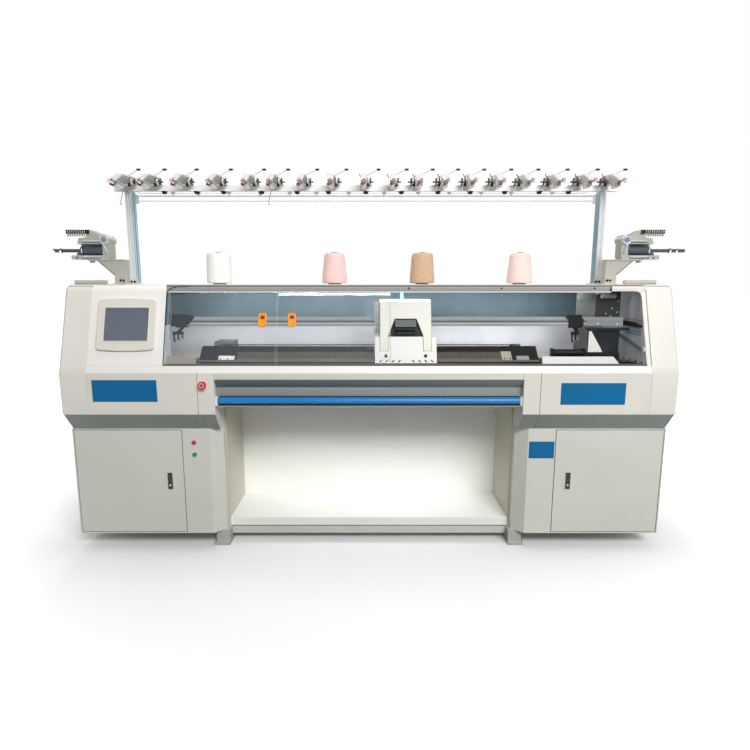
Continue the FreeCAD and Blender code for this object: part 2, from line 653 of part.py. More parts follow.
track_z = LEDGE_TOP + 6.0
slot_floor = LEDGE_TOP + 2.0
slot_width = 7.5
track_front = COVER_Y - 5.0
track_back = COVER_Y + TRACK_PITCH + 8.0
track = block(FIT - SCREEN_IN, WALL_IN - FIT, track_front, track_back, LEDGE_TOP, track_z)
for foot_y in (COVER_Y, COVER_Y + TRACK_PITCH):
    slot = block(-CASE_HALF, CASE_HALF, foot_y - 3, foot_y - 3 + slot_width, slot_floor, track_z + 1)
    track = track.cut(slot)
nodes["window_rails"] = Part.Compound([top_rail, track])


cover_foot_z = slot_floor + FIT + COVER_THICK * math.sin(math.radians(LEAN))


def sliding_cover(x0, x1, foot_y):
    low = cover_foot_z
    bend_y = foot_y + (COVER_BEND_Z - low) * LEAN_RATE
    tail = math.radians(LEAN + 52.0)
    end = (bend_y + COVER_TAIL * math.sin(tail), COVER_BEND_Z + COVER_TAIL * math.cos(tail))
    half = COVER_THICK / 2 / math.cos(math.radians(LEAN))
    path = [end, (bend_y - half, COVER_BEND_Z), (foot_y - half, low)]
    outline = folded(path, COVER_THICK)
    radii = [0.0, COVER_BEND, 0.0, 0.0, COVER_BEND - COVER_THICK, 0.0]
    return along_x(outline, x0, x1, radii)


cover_split = COVER_LEFT + COVER_WIDTH_LEFT
nodes["left_sliding_cover"] = sliding_cover(COVER_LEFT, cover_split, COVER_Y)
nodes["right_sliding_cover"] = sliding_cover(cover_split + SEAM, cover_split + SEAM + COVER_WIDTH_RIGHT,
                                             COVER_Y + TRACK_PITCH)
PULL_WIDTH = 37.0
PULL_HEIGHT = 66.0
PULL_THICK = 8.0
PULL_Z = 1114.0


def eased_box(w, h, c):
    """Corners of a box round the origin, each corner eased by three flats."""
    near = 0.35 * c
    quarter = [(w, h - c), (w - near, h - near), (w - c, h)]
    left = [(-u, v) for u, v in quarter[::-1]]
    return quarter + left + [(-u, -v) for u, v in quarter + left]


def pull(x, foot_y):
    w = PULL_WIDTH / 2
    h = PULL_HEIGHT / 2
    body = along_z(eased_box(w, h, 7.0), 0, PULL_THICK)
    grip = [(-w + 8, -h + 11), (w - 8, -h + 11), (w - 8, h - 11), (-w + 8, h - 11)]
    body = body.cut(along_z(grip, 2.5, PULL_THICK + 1))
    face = foot_y + (LEDGE_TOP - cover_foot_z) * LEAN_RATE - COVER_THICK / 2 / math.cos(math.radians(LEAN))
    return leaned(body, x, PULL_Z, face)


nodes["left_cover_pull"] = pull(cover_split - 63.0, COVER_Y)
nodes["right_cover_pull"] = pull(cover_split + 70.0, COVER_Y + TRACK_PITCH)

# ================================================================ inside walls
wall_outline = [(LEDGE_SETBACK + 7, LEDGE_TOP), (lean_y(rail_low + 6, LEDGE_SETBACK + 7), rail_low + 6),
                (rail_back + 13, rail_low + 6), (rail_back + 13, DECK_UNDER), (BACK_Y + 40, DECK_UNDER),
                (BACK_Y + 40, LEDGE_TOP)]
wall_hollow = folded(wall_outline[::-1], SHEET)[len(wall_outline):]
inner_wall = along_x(wall_outline, WALL_IN, CAP_IN - FIT)
inner_wall = inner_wall.cut(along_x(wall_hollow, WALL_IN + SHEET, CAP_IN))
nodes["window_frame"] = Part.Compound([inner_wall, right_roof])
upper_panel = block(FIT - CAP_IN, WALL_IN - FIT, BACK_Y, BACK_Y + SHEET, BACK_SPLIT_Z,
                    DECK_UNDER)
lower_panel = block(FIT - CAP_IN, WALL_IN - FIT, BACK_Y, BACK_Y + SHEET, PANEL_TOP, BACK_SPLIT_Z)

rear_cover = block(FIT - CAP_IN, CAP_IN - FIT, DEPTH - SHEET, DEPTH, CHAMFER_BOTTOM, DECK_UNDER)
VENT_WIDTH = 220.0
VENT_HEIGHT = 12.0
VENT_PITCH = 30.0
VENT_X = CAP_IN - 383.0
VENT_LOW = CHAMFER_BOTTOM + 155.0
for side in (-1, 1):
    for step in range(6):
        z = VENT_LOW + step * VENT_PITCH
        x = side * VENT_X
        vent = [(x - VENT_WIDTH / 2, z), (x + VENT_WIDTH / 2, z), (x + VENT_WIDTH / 2, z + VENT_HEIGHT),
                (x - VENT_WIDTH / 2, z + VENT_HEIGHT)]
        rear_cover = rear_cover.cut(along_y(vent, DEPTH - SHEET - 1, DEPTH + 1))
nodes["back_panels"] = Part.Compound([rear_cover, upper_panel, lower_panel])

# ================================================================ needle beds
slope = math.radians(BED_SLOPE)
ALONG = (math.cos(slope), math.sin(slope))
bed_end = BED_HALF + BED_END


def on_bed(side, s, h):
    """Point on a bed: side -1 front, 1 rear; s down the slope from the throat, h above the bed."""
    y = THROAT / 2 + s * ALONG[0] + h * ALONG[1]
    z = BED_TOP - s * ALONG[1] + h * ALONG[0]
    return BED_Y + side * y, z


def bed_prism(side, points, x0, x1):
    return along_x([on_bed(side, s, h) for s, h in points], x0, x1)


bed_under = BED_THICK * math.tan(slope)
bed_section = [(0, 0), (BED_WIDTH, 0), (BED_WIDTH, -BED_THICK), (bed_under, -BED_THICK)]
needle_count = int((2 * BED_HALF - 20) // NEEDLE_PITCH)
needle_xs = [(index - (needle_count - 1) / 2) * NEEDLE_PITCH for index in range(needle_count)]
needle_section = [(4, 0), (70, 0), (70, 4.5), (62, 2), (8, 2)]


def needle_bed(side):
    """Grooved bed: one long plate with a trick cut across it for each needle."""
    plate_solid = bed_prism(side, bed_section, -BED_HALF, BED_HALF)
    trick_section = [(-8, -TRICK_DEPTH), (78, -TRICK_DEPTH), (78, 2), (-8, 2)]
    tricks = [bed_prism(side, trick_section, x - TRICK_WIDTH / 2, x + TRICK_WIDTH / 2)
              for x in needle_xs]
    return plate_solid.cut(Part.Compound(tricks))


def needles(side):
    lowered = [(s, h - TRICK_DEPTH) for s, h in needle_section]
    return Part.Compound([bed_prism(side, lowered, x - NEEDLE_WIDTH / 2, x + NEEDLE_WIDTH / 2)
                          for x in needle_xs])


nodes["needle_beds"] = Part.Compound([needle_bed(-1), needle_bed(1)])
nodes["needles"] = Part.Compound([needles(-1), needles(1)])

under_top = BED_TOP - BED_THICK / ALONG[0]
carrier_half = THROAT / 2 + (under_top - CARRIER_BASE) / math.tan(slope)
carrier_points = [(BED_Y - carrier_half, CARRIER_BASE), (BED_Y - THROAT / 2, under_top),
                  (BED_Y + THROAT / 2, under_top), (BED_Y + carrier_half, CARRIER_BASE)]
bed_carrier = along_x(carrier_points, -bed_end, bed_end)
end_section = [(0, 0), (BED_WIDTH - 20, 0), (BED_WIDTH - 20, -BED_THICK), (bed_under, -BED_THICK)]
end_blocks = [bed_prism(side, end_section, BED_HALF + FIT, bed_end) for side in (-1, 1)]
nodes["bed_end_blocks"] = Part.Compound(end_blocks + [flipped(shape) for shape in end_blocks])

beam_front = BED_Y - 60.0
bracket_y = BELT_Y + BELT_WIDTH + 2.0
beam_back = bracket_y + BRACKET_THICK
beam_under = CARRIER_BASE - BED_BEAM_THICK
bed_beam = join(bed_carrier, block(-bed_end, bed_end, beam_front, beam_back, beam_under, CARRIER_BASE),
                block(1 - KNEE_HALF, KNEE_HALF - 1, 180, 260, beam_under - 100, beam_under))

# ================================================================ guide rails and carriage
GUIDE_S = 92.0
GUIDE_WIDTH = 10.0
GUIDE_HEIGHT = 8.0
guide_section = [(GUIDE_S, 0), (GUIDE_S + GUIDE_WIDTH, 0), (GUIDE_S + GUIDE_WIDTH, GUIDE_HEIGHT),
                 (GUIDE_S, GUIDE_HEIGHT)]
nodes["guide_rails"] = Part.Compound([bed_prism(side, guide_section, -bed_end, bed_end)
                                      for side in (-1, 1)])
cam_in = GUIDE_S - FIT
cam_out = GUIDE_S + GUIDE_WIDTH + 2
cam_section = [(8, 1), (cam_in, 1), (cam_in, GUIDE_HEIGHT + FIT), (cam_out, GUIDE_HEIGHT + FIT),
               (cam_out, CAM_HEIGHT), (8, CAM_HEIGHT)]
cam_half = COVER_HALF - SHEET - FIT
cam_boxes = [bed_prism(side, cam_section, CARRIAGE_X - cam_half, CARRIAGE_X + cam_half)
             for side in (-1, 1)]

COVER_PLANE = 49.0        # foot of the plane that the carriage's front follows
arch_left = CARRIAGE_X - ARCH_HALF
arch_right = CARRIAGE_X + ARCH_HALF
cam_foot = on_bed(-1, 60, CAM_HEIGHT)
cam_edge = on_bed(-1, cam_out, CAM_HEIGHT)
rear_foot = on_bed(1, 60, CAM_HEIGHT)
rear_edge = on_bed(1, cam_out, CAM_HEIGHT)
leg_in = lean_y(1000.0, COVER_PLANE) + ARCH_PLATE
roof_under = CARRIAGE_TOP - 40.0
bevel_z = CARRIAGE_TOP - 18.0


def carriage_arch():
    outer = [(lean_y(ARCH_FOOT_Z, COVER_PLANE), ARCH_FOOT_Z), (lean_y(bevel_z, COVER_PLANE), bevel_z),
             (lean_y(bevel_z, COVER_PLANE) + 20, CARRIAGE_TOP), (ARCH_REAR_Y + 10, CARRIAGE_TOP),
             (ARCH_REAR_Y + 24, bevel_z), (ARCH_REAR_Y + 24, rear_edge[1]),
             (rear_edge[0], rear_edge[1]), (rear_foot[0], rear_foot[1]), (ARCH_REAR_Y, 1000.0),
             (ARCH_REAR_Y, roof_under), (lean_y(roof_under, COVER_PLANE) + ARCH_PLATE, roof_under),
             (leg_in, 1000.0), (cam_foot[0], cam_foot[1])]
    arch = along_x(outer, arch_left, arch_right)
    mouth = [(-80, ARCH_FOOT_Z - 60), (80, ARCH_FOOT_Z - 60), (80, 1043.0), (50, 1118.0), (-50, 1118.0),
             (-80, 1043.0)]
    mouth = [(CARRIAGE_X + x, z) for x, z in mouth]
    return arch.cut(along_y(mouth, 0, ARCH_REAR_Y - 60))


cover_low = track_z + 2.0
front_path = [(lean_y(FRONT_COVER_TOP, COVER_PLANE) + FRONT_COVER_FLANGE, FRONT_COVER_TOP),
              (lean_y(FRONT_COVER_TOP, COVER_PLANE), FRONT_COVER_TOP),
              (lean_y(cover_low, COVER_PLANE), cover_low)]
front_cover = along_x(folded(front_path, SHEET), CARRIAGE_X - COVER_HALF, CARRIAGE_X + COVER_HALF)
for left, right in ((arch_left, CARRIAGE_X - 80), (CARRIAGE_X + 80, arch_right)):
    notch = block(left - 0.5, right + 0.5, 0, 200, ARCH_FOOT_Z - 14, FRONT_COVER_TOP + 1)
    front_cover = front_cover.cut(notch)
cheek = [(lean_y(cover_low, COVER_PLANE), cover_low), cam_edge, cam_foot,
         (lean_y(FRONT_COVER_TOP, COVER_PLANE) + FRONT_COVER_FLANGE, FRONT_COVER_TOP),
         (lean_y(FRONT_COVER_TOP, COVER_PLANE), FRONT_COVER_TOP)]
for x in (CARRIAGE_X - COVER_HALF, CARRIAGE_X + COVER_HALF - SHEET):
    front_cover = front_cover.fuse(along_x(cheek, x, x + SHEET))
nodes["carriage_cover"] = front_cover.removeSplitter()

head_foot = on_bed(-1, 40, CAM_HEIGHT)
head_points = [head_foot, cam_foot, (lean_y(1052.0, COVER_PLANE) + 8, 1052.0),
               (lean_y(1112.0, COVER_PLANE) + 8, 1112.0), (lean_y(1112.0, COVER_PLANE) + 28, 1112.0)]
carriage_head = along_x(head_points, CARRIAGE_X - 46, CARRIAGE_X + 46)
nodes["cam_boxes"] = Part.Compound(cam_boxes + [carriage_head])

post_y = lean_y(1120.0, COVER_PLANE) + 30
post_low = FRONT_COVER_TOP + 7.0
post = block(arch_left - 24, arch_left, post_y, post_y + 4, post_low, CARRIAGE_TOP - 8)
for step in range(5):
    z = post_low + 17.0 + step * 29.0
    post = post.cut(bore((arch_left - 15, post_y - 1, z), (arch_left - 15, post_y + 5, z), 4.0, 6))
strap = block(CARRIAGE_X - 20, CARRIAGE_X - 4, 225.0, 228.0, CARRIAGE_TOP, rail_low - 1)
nodes["carriage_fittings"] = Part.Compound([post, strap])

# ================================================================ belt drive
def racetrack(radius):
    return along_y([(-BELT_X - radius, BELT_Z - radius), (BELT_X + radius, BELT_Z - radius),
                    (BELT_X + radius, BELT_Z + radius), (-BELT_X - radius, BELT_Z + radius)],
                   BELT_Y, BELT_Y + BELT_WIDTH, [radius - 0.01] * 4)


nodes["drive_belt"] = racetrack(PULLEY_RADIUS + FIT + BELT_THICK).cut(racetrack(PULLEY_RADIUS + FIT))


def pulley(x):
    wheel = faceted((x, BELT_Y, BELT_Z), (x, BELT_Y + BELT_WIDTH, BELT_Z), PULLEY_RADIUS, 24)
    shaft = faceted((x, BELT_Y + BELT_WIDTH, BELT_Z), (x, BELT_Y + BELT_WIDTH + 10 - FIT, BELT_Z),
                    SHAFT_RADIUS, 16)
    return join(wheel, shaft)


nodes["drive_pulley"] = pulley(-BELT_X)
nodes["idler_pulley"] = pulley(BELT_X)


def pulley_bracket(x):
    points = [(x - 42, CARRIER_BASE), (x + 42, CARRIER_BASE), (x + 26, BELT_Z + 34), (x - 26, BELT_Z + 34)]
    web = along_y(points, bracket_y, bracket_y + BRACKET_THICK)
    shaft_hole = bore((x, bracket_y - 1, BELT_Z), (x, bracket_y + BRACKET_THICK + 1, BELT_Z),
                      SHAFT_RADIUS + FIT, 16)
    return web.cut(shaft_hole)


nodes["bed_beam"] = join(bed_beam, pulley_bracket(-BELT_X), pulley_bracket(BELT_X))
motor = [(-BELT_X - 45, BELT_Z - 45), (45 - BELT_X, BELT_Z - 45), (45 - BELT_X, BELT_Z + 45),
         (-BELT_X - 45, BELT_Z + 45)]
nodes["drive_motor"] = along_y(motor, beam_back, beam_back + 122)
belt_top = BELT_Z + PULLEY_RADIUS + FIT + BELT_THICK
belt_clamp = join(block(CARRIAGE_X - 20, CARRIAGE_X + 20, ARCH_REAR_Y + 24, BELT_Y - FIT, 950, belt_top + 12),
                  block(CARRIAGE_X - 20, CARRIAGE_X + 20, BELT_Y - FIT, BELT_Y + BELT_WIDTH,
                        belt_top + FIT, belt_top + 12))
nodes["carriage_arch"] = join(carriage_arch(), belt_clamp)

roller_half = KNEE_HALF - ROLLER_END_GAP
shaft_half = KNEE_HALF - 5.0
roller = faceted((-roller_half, ROLLER_Y, ROLLER_Z), (roller_half, ROLLER_Y, ROLLER_Z), ROLLER_RADIUS, 24)
shaft = faceted((-shaft_half, ROLLER_Y, ROLLER_Z), (shaft_half, ROLLER_Y, ROLLER_Z), ROLLER_SHAFT, 16)
nodes["takedown_roller"] = join(roller, shaft)

# ================================================================ feeder rails and feeders
rail_ys = (FEED_RAIL_Y, FEED_RAIL_Y + FEED_RAIL_PITCH)


def feed_rail(y):
    bar_solid = block(FEED_RAIL_LEFT, FEED_RAIL_RIGHT, y, y + FEED_RAIL_THICK, FEED_RAIL_LOW, FEED_RAIL_HIGH)
    middle = (FEED_RAIL_LOW + FEED_RAIL_HIGH) / 2
    for face in (y - 1, y + FEED_RAIL_THICK - 1.5):
        groove = block(FEED_RAIL_LEFT - 1, WALL_IN, face, face + 2.5, middle - 2, middle + 2)
        bar_solid = bar_solid.cut(groove)
    return bar_solid


nodes["feeder_rails"] = Part.Compound([feed_rail(y) for y in rail_ys])

hanger_y = rail_ys[1] + FEED_RAIL_THICK


def hanger(x0, x1):
    plate_solid = block(x0, x1, hanger_y, hanger_y + 4, FEED_RAIL_LOW - 4, DECK_UNDER)
    for step in range(4):
        x = x0 + (x1 - x0) * (step + 0.7) / 4.4
        z = FEED_RAIL_HIGH + 70 + (step % 2) * 30
        plate_solid = plate_solid.cut(bore((x, hanger_y - 1, z), (x, hanger_y + 5, z), 7.0, 6))
    spacer = block(x0 + 10, x1 - 10, rail_ys[0] + FEED_RAIL_THICK, rail_ys[1], FEED_RAIL_LOW + 6,
                   FEED_RAIL_HIGH - 6)
    return [plate_solid, spacer]


nodes["rail_hangers"] = Part.Compound(hanger(FEED_RAIL_RIGHT - 215, FEED_RAIL_RIGHT - 5)
                                      + hanger(FEED_RAIL_LEFT + 5, FEED_RAIL_LEFT + 135))


def feeder(x, side):
    """Yarn feeder: side -1 rides on the front of the front rail, 1 on the back of the rear rail."""
    if side < 0:
        face = rail_ys[0]
        tip = BED_Y - 7.0
    else:
        face = rail_ys[1] + FEED_RAIL_THICK
        tip = BED_Y + 7.0
    near = face + side * FIT
    far = near + side * 10.0
    hook = face - side * 7.0
    body = [(hook, FEED_RAIL_HIGH + FIT), (near, FEED_RAIL_HIGH + FIT), (near, FEED_RAIL_LOW - FIT),
            (hook, FEED_RAIL_LOW - FIT), (hook, FEED_RAIL_LOW - 8), (far, FEED_RAIL_LOW - 8),
            (far, FEED_RAIL_HIGH + 12), (hook, FEED_RAIL_HIGH + 12)]
    carriage = along_x(body, x - FEEDER_WIDTH / 2, x + FEEDER_WIDTH / 2)
    stem = [(far - side * 9, FEED_RAIL_LOW - 8), (far, FEED_RAIL_LOW - 8), (tip + side * 3, FEEDER_TIP + 12),
            (tip + side * 3, FEEDER_TIP), (tip - side * 3, FEEDER_TIP), (tip - side * 3, FEEDER_TIP + 14)]
    return join(carriage, along_x(stem, x - 9, x + 9))


nodes["yarn_feeder_1"] = feeder(FEEDER_X[0], -1)
nodes["yarn_feeder_2"] = feeder(FEEDER_X[1], 1)
nodes["yarn_feeder_3"] = feeder(FEEDER_X[2], -1)

# ================================================================ inner covers beside the beds
inner_x = bed_end + 5.0
inner_front = track_back + 1.0
INNER_THICK = 16.0
INNER_HEIGHT = 36.0


def inner_cover(outline):
    """Leaning cover, set back from the sliding covers; its outline is given as seen from the front."""
    rise = INNER_HEIGHT * LEAN_RATE
    section = [(inner_front, LEDGE_TOP), (inner_front + INNER_THICK, LEDGE_TOP),
               (inner_front + INNER_THICK + rise, LEDGE_TOP + INNER_HEIGHT),
               (inner_front + rise, LEDGE_TOP + INNER_HEIGHT)]
    return along_x(section, outline[0][0], outline[1][0]).common(along_y(outline, 0, 200))


inner_top = LEDGE_TOP + INNER_HEIGHT
cover_end = WALL_IN - 109.0
inner_right = [(inner_x, LEDGE_TOP), (cover_end, LEDGE_TOP),
               (cover_end - 27, inner_top), (inner_x, inner_top)]
inner_left = [(FIT - SCREEN_IN, LEDGE_TOP), (-inner_x, LEDGE_TOP), (-inner_x, inner_top),
              (FIT - SCREEN_IN, inner_top)]
nodes["inner_covers"] = Part.Compound([inner_cover(inner_left), inner_cover(inner_right)])

# yarn clamp and cutter to the right of the beds, on a cross bar from the beam to the inner wall
FITTING_Y = 112.0
FITTING_DEPTH = 40.0
GUSSET_THICK = 10.0
FITTING_BASE = CARRIER_BASE + 12.0
CUTTER_IN = WALL_IN - 225.0
CUTTER_OUT = WALL_IN - 90.0
CUTTER_TOP = FEED_RAIL_LOW - 14.0
cutter_low = FITTING_BASE + 50.0
cutter_front = FITTING_Y + GUSSET_THICK
cross_bar = block(bed_end + FIT, WALL_IN - FIT, FITTING_Y, FITTING_Y + FITTING_DEPTH,
                  CARRIER_BASE, FITTING_BASE)
cutter = block(CUTTER_IN, CUTTER_OUT, cutter_front, cutter_front + 16, FITTING_BASE, CUTTER_TOP)
cutter_cap = block(CUTTER_IN - 14, CUTTER_OUT + 40, FITTING_Y, cutter_front + 26,
                   CUTTER_TOP, CUTTER_TOP + 10)
cutter_foot = block(CUTTER_IN - 30, CUTTER_OUT, FITTING_Y, FITTING_Y + 30, cutter_low - 33, cutter_low)
foot_pads = [block(x, x + 16, FITTING_Y, cutter_front, FITTING_BASE, cutter_low - 33)
             for x in (CUTTER_IN + 6, CUTTER_OUT - 22)]
gusset = along_y([(CUTTER_IN - 14, cutter_low), (CUTTER_IN + 58, cutter_low), (CUTTER_IN + 21, CUTTER_TOP),
                  (CUTTER_IN - 14, CUTTER_TOP)], FITTING_Y, cutter_front)
CLAMP_IN = bed_end + 77.0
CLAMP_LENGTH = 140.0
CLAMP_RADIUS = 17.0
clamp_z = FITTING_BASE + 46.0
clamp_y = FITTING_Y + FITTING_DEPTH / 2
clamp_roller = faceted((CLAMP_IN, clamp_y, clamp_z), (CLAMP_IN + CLAMP_LENGTH, clamp_y, clamp_z),
                       CLAMP_RADIUS, 12)
clamp_ends = [block(x, x + 10, FITTING_Y, FITTING_Y + FITTING_DEPTH, FITTING_BASE, clamp_z + CLAMP_RADIUS + 3)
              for x in (CLAMP_IN - 8, CLAMP_IN + CLAMP_LENGTH - 2)]
nodes["end_fittings"] = join(cross_bar, cutter, cutter_cap, cutter_foot, gusset, clamp_roller, *foot_pads,
                             *clamp_ends)

# row of small levers on the right inner wall, beside the ends of the feeder rails
LEVER_Z = FEED_RAIL_LOW
LEVER_PITCH = 23.0
LEVER_COUNT = 8
lever_start = lean_y(LEVER_Z, LEDGE_SETBACK + 7) + 18
lever_row = block(WALL_IN - 10, WALL_IN, lever_start, lever_start + LEVER_COUNT * LEVER_PITCH, LEVER_Z,
                  LEVER_Z + 12)
levers = []
for step in range(LEVER_COUNT):
    lever_y = lever_start + 8 + step * LEVER_PITCH
    lever_points = [(WALL_IN - 10, LEVER_Z + 2), (WALL_IN - 10, LEVER_Z + 10), (WALL_IN - 26, LEVER_Z + 26),
                    (WALL_IN - 32, LEVER_Z + 22)]
    levers.append(along_y(lever_points, lever_y, lever_y + 9))
nodes["wall_levers"] = join(lever_row, *levers)

# ================================================================ buttons
NECK_RADIUS = 11.0
COLLAR_DEPTH = 5.0
ROUND = 12                # sides of the small turned pieces


def from_front(radius, x, z, y0, y1):
    return faceted((x, y0, z), (x, y1, z), radius, ROUND)


def mushroom():
    """Emergency stop: a bevelled head on a neck that slides in its collar."""
    head_back = -ESTOP_PROUD + 12.0
    rim = from_front(ESTOP_RADIUS, ESTOP_X, ESTOP_Z, -ESTOP_PROUD + 3.0, head_back)
    cap = from_front(ESTOP_RADIUS - 6.0, ESTOP_X, ESTOP_Z, -ESTOP_PROUD, -ESTOP_PROUD + 3.0)
    neck = from_front(NECK_RADIUS, ESTOP_X, ESTOP_Z, head_back, SHEET + 4.0)
    return join(neck, rim, cap)


nodes["estop_button"] = mushroom()


def button(z):
    cap_back = CABINET_SETBACK - BUTTON_TRAVEL - FIT
    cap = from_front(BUTTON_RADIUS, BUTTON_X, z, CABINET_SETBACK - BUTTON_PROUD, cap_back)
    stem = from_front(7.5, BUTTON_X, z, cap_back, CABINET_SETBACK + 10.0)
    return join(cap, stem)


nodes["stop_button"] = button(STOP_Z)
nodes["start_button"] = button(START_Z)


def collar(x, z, face, outer, inner, depth):
    ring = from_front(outer, x, z, face - depth, face)
    return ring.cut(bore((x, face - depth - 1, z), (x, face + 1, z), inner, ROUND))


nodes["button_collars"] = Part.Compound(
    [collar(BUTTON_X, z, CABINET_SETBACK, 14.5, BUTTON_RADIUS + FIT, COLLAR_DEPTH) for z in (STOP_Z, START_Z)]
    + [collar(ESTOP_X, ESTOP_Z, 0.0, 16.0, NECK_RADIUS + FIT, 4.0)])

# ================================================================ yarn stand
# The stand and the side units sit a little left of the middle: what each side gains or loses.
left_more = -STAND_SHIFT
right_more = STAND_SHIFT
GROOVE = 8.0
SLOT_DEPTH = 4.0
BASE_THICK = 6.0
WIRE_BACK = (20.0, 40.0)  # the two guide wires behind the posts
WIRE_DROP = (15.0, 37.0)  # and below the top of the posts
WIRE_RADIUS = (4.0, 2.5)
post_top = STAND_RAIL_Z - STAND_RAIL_SIZE / 2
post_back = POST_Y + POST_DEPTH / 2
rail_top = STAND_RAIL_Z + STAND_RAIL_SIZE / 2


def post_slot(x, y):
    return block(x - GROOVE / 2, x + GROOVE / 2, y - GROOVE / 2, y + GROOVE / 2, DECK_TOP + BASE_THICK - 1,
                 post_top + 1)


def stand_post(x):
    """Extruded post with its grooves, on a base plate, with the bracket that holds the guide wires."""
    base = block(x - 28, x + 28, POST_Y - 44, POST_Y + 44, DECK_TOP, DECK_TOP + BASE_THICK)
    upright = block(x - POST_WIDTH / 2, x + POST_WIDTH / 2, POST_Y - POST_DEPTH / 2, post_back,
                    DECK_TOP + BASE_THICK, post_top)
    for y in (POST_Y - POST_DEPTH / 2, post_back):
        upright = upright.cut(post_slot(x, y))
    for side in (-1, 1):
        for y in (POST_Y - POST_DEPTH / 4, POST_Y + POST_DEPTH / 4):
            upright = upright.cut(post_slot(x + side * POST_WIDTH / 2, y))
    bracket = block(x - 10, x + 10, post_back, post_back + 52, post_top - 50, post_top - 4)
    for back, drop, radius in zip(WIRE_BACK, WIRE_DROP, WIRE_RADIUS):
        y = post_back + back
        z = post_top - drop
        bracket = bracket.cut(faceted((x - 11, y, z), (x + 11, y, z), radius, 6))
    return join(upright, base, bracket)


stand_ends = (POST_HALF + left_more, POST_HALF + right_more)
stand_rail = block(-stand_ends[0] - STAND_OVERHANG, stand_ends[1] + STAND_OVERHANG,
                   POST_Y - STAND_RAIL_SIZE / 2, POST_Y + STAND_RAIL_SIZE / 2, post_top, rail_top)
wires = []
for back, drop, radius in zip(WIRE_BACK, WIRE_DROP, WIRE_RADIUS):
    y = post_back + back
    z = post_top - drop
    wires.append(faceted((-stand_ends[0] - 16, y, z), (stand_ends[1] + 16, y, z), radius, 6))
nodes["stand_rails"] = Part.Compound(wires + [stand_rail])
nodes["stand_posts"] = Part.Compound([flipped(stand_post(stand_ends[0])), stand_post(stand_ends[1])])

HEAD_HALF = 14.0          # half of a tension head's width
HEAD_FRONT = POST_Y - 233.0
HEAD_BACK = POST_Y + STAND_RAIL_SIZE / 2
HEAD_FOOT_HALF = 9.0
DISC_RADIUS = 19.0
WIRE_LEAN = 70.0          # the stop wire leans to the right of its head


def tension_head(x):
    """Tapered housing on the rail with its tension discs on the right and its stop wire above."""
    top = rail_top
    side_view = [(HEAD_BACK, top), (HEAD_BACK, top + 35), (POST_Y - 45, top + 38), (POST_Y - 145, top + 30),
                 (HEAD_FRONT, top - 15), (HEAD_FRONT + 106, top - 22), (POST_Y - STAND_RAIL_SIZE / 2, top)]
    housing = along_x(side_view, x - HEAD_HALF, x + HEAD_HALF)
    foot_box = block(x - HEAD_FOOT_HALF, x + HEAD_FOOT_HALF, HEAD_FRONT + 41, HEAD_FRONT + 106,
                     top - 38, top - 15)
    disc_y = POST_Y - 50.0
    disc_x = x + HEAD_HALF - 1
    discs = faceted((disc_x, disc_y, top + 8), (disc_x + 15, disc_y, top + 8), DISC_RADIUS, 8)
    wire_end = (x + WIRE_LEAN, POST_Y - 90.0, top + 60)
    stop_wire = faceted((x + 4, POST_Y - 60.0, top + 34), wire_end, 2.0, 3)
    tip_x, tip_y, tip_z = wire_end
    tip = block(tip_x - 6, tip_x + 11, tip_y - 3, tip_y + 3, tip_z - 4, tip_z + 4)
    return join(housing, foot_box, discs, stop_wire, tip)


nodes["tension_heads"] = Part.Compound([tension_head(x) for x in HEAD_X])

# ================================================================ side yarn feeders
unit_z = DECK_TOP + SIDE_UNIT_RISE
unit_y = SIDE_UNIT_Y
BODY_FRONT = unit_y - 26.0
SIDE_ROLLER_RADIUS = 19.0
SIDE_SHAFT = 5.0
side_roller_y = unit_y - 10.0
side_roller_z = unit_z + 41.0
ARM_RADIUS = 8.0
DECK_BAR_RADIUS = 10.0


def side_bracket(x):
    """Bolted foot with an upright, a shelf under the body and a triangular gusset on each side."""
    y0 = unit_y - 30
    y1 = unit_y + 30
    foot_plate = block(x - 154, x - 90, y0 - 8, y1, DECK_TOP, DECK_TOP + 5)
    upright = block(x - 150, x - 97, y0 + 4, y1 - 4, DECK_TOP + 5, unit_z - 6)
    shelf = block(x - 150, x + 24, y0, y1, unit_z - 6, unit_z)
    web = [(x - 97, unit_z - 6), (x - 97, unit_z - 74), (x - 22, unit_z - 6)]
    gussets = [along_y(web, y, y + 5) for y in (y0 + 4, y1 - 9)]
    bolt = faceted((x + 10, unit_y - 10, unit_z - 16), (x + 10, unit_y - 10, unit_z - 6), 11.0, 8)
    return join(foot_plate, upright, shelf, bolt, *gussets)


def side_body(x):
    """Cast body with a sloping nose and a round gear housing; the roller runs in its fork."""
    points = [(x - 76, unit_z), (x + 100, unit_z), (x + 100, unit_z + 17), (x + 69, unit_z + 68),
              (x + 60, unit_z + 98), (x + 26, unit_z + 102), (x + 19, unit_z + 134), (x + 4, unit_z + 136),
              (x - 41, unit_z + 114), (x - 82, unit_z + 98), (x - 82, unit_z + 14)]
    body = along_y(points, BODY_FRONT, unit_y + 40)
    gears = faceted((x - 62, BODY_FRONT - 4, unit_z + 91), (x - 62, unit_y + 46, unit_z + 91), 25.0, 12)
    room = block(x - 49, x + 101, BODY_FRONT - 1, unit_y + 14, unit_z + 19, unit_z + 71)
    shaft_hole = bore((x - 66, side_roller_y, side_roller_z), (x - 48, side_roller_y, side_roller_z),
                      SIDE_SHAFT + FIT, 12)
    return cut(join(body, gears), room, shaft_hole)


def side_roller(x):
    return join(faceted((x - 46, side_roller_y, side_roller_z), (x + 43, side_roller_y, side_roller_z),
                        SIDE_ROLLER_RADIUS, 20),
                faceted((x - 64, side_roller_y, side_roller_z), (x + 47, side_roller_y, side_roller_z),
                        SIDE_SHAFT, 12))


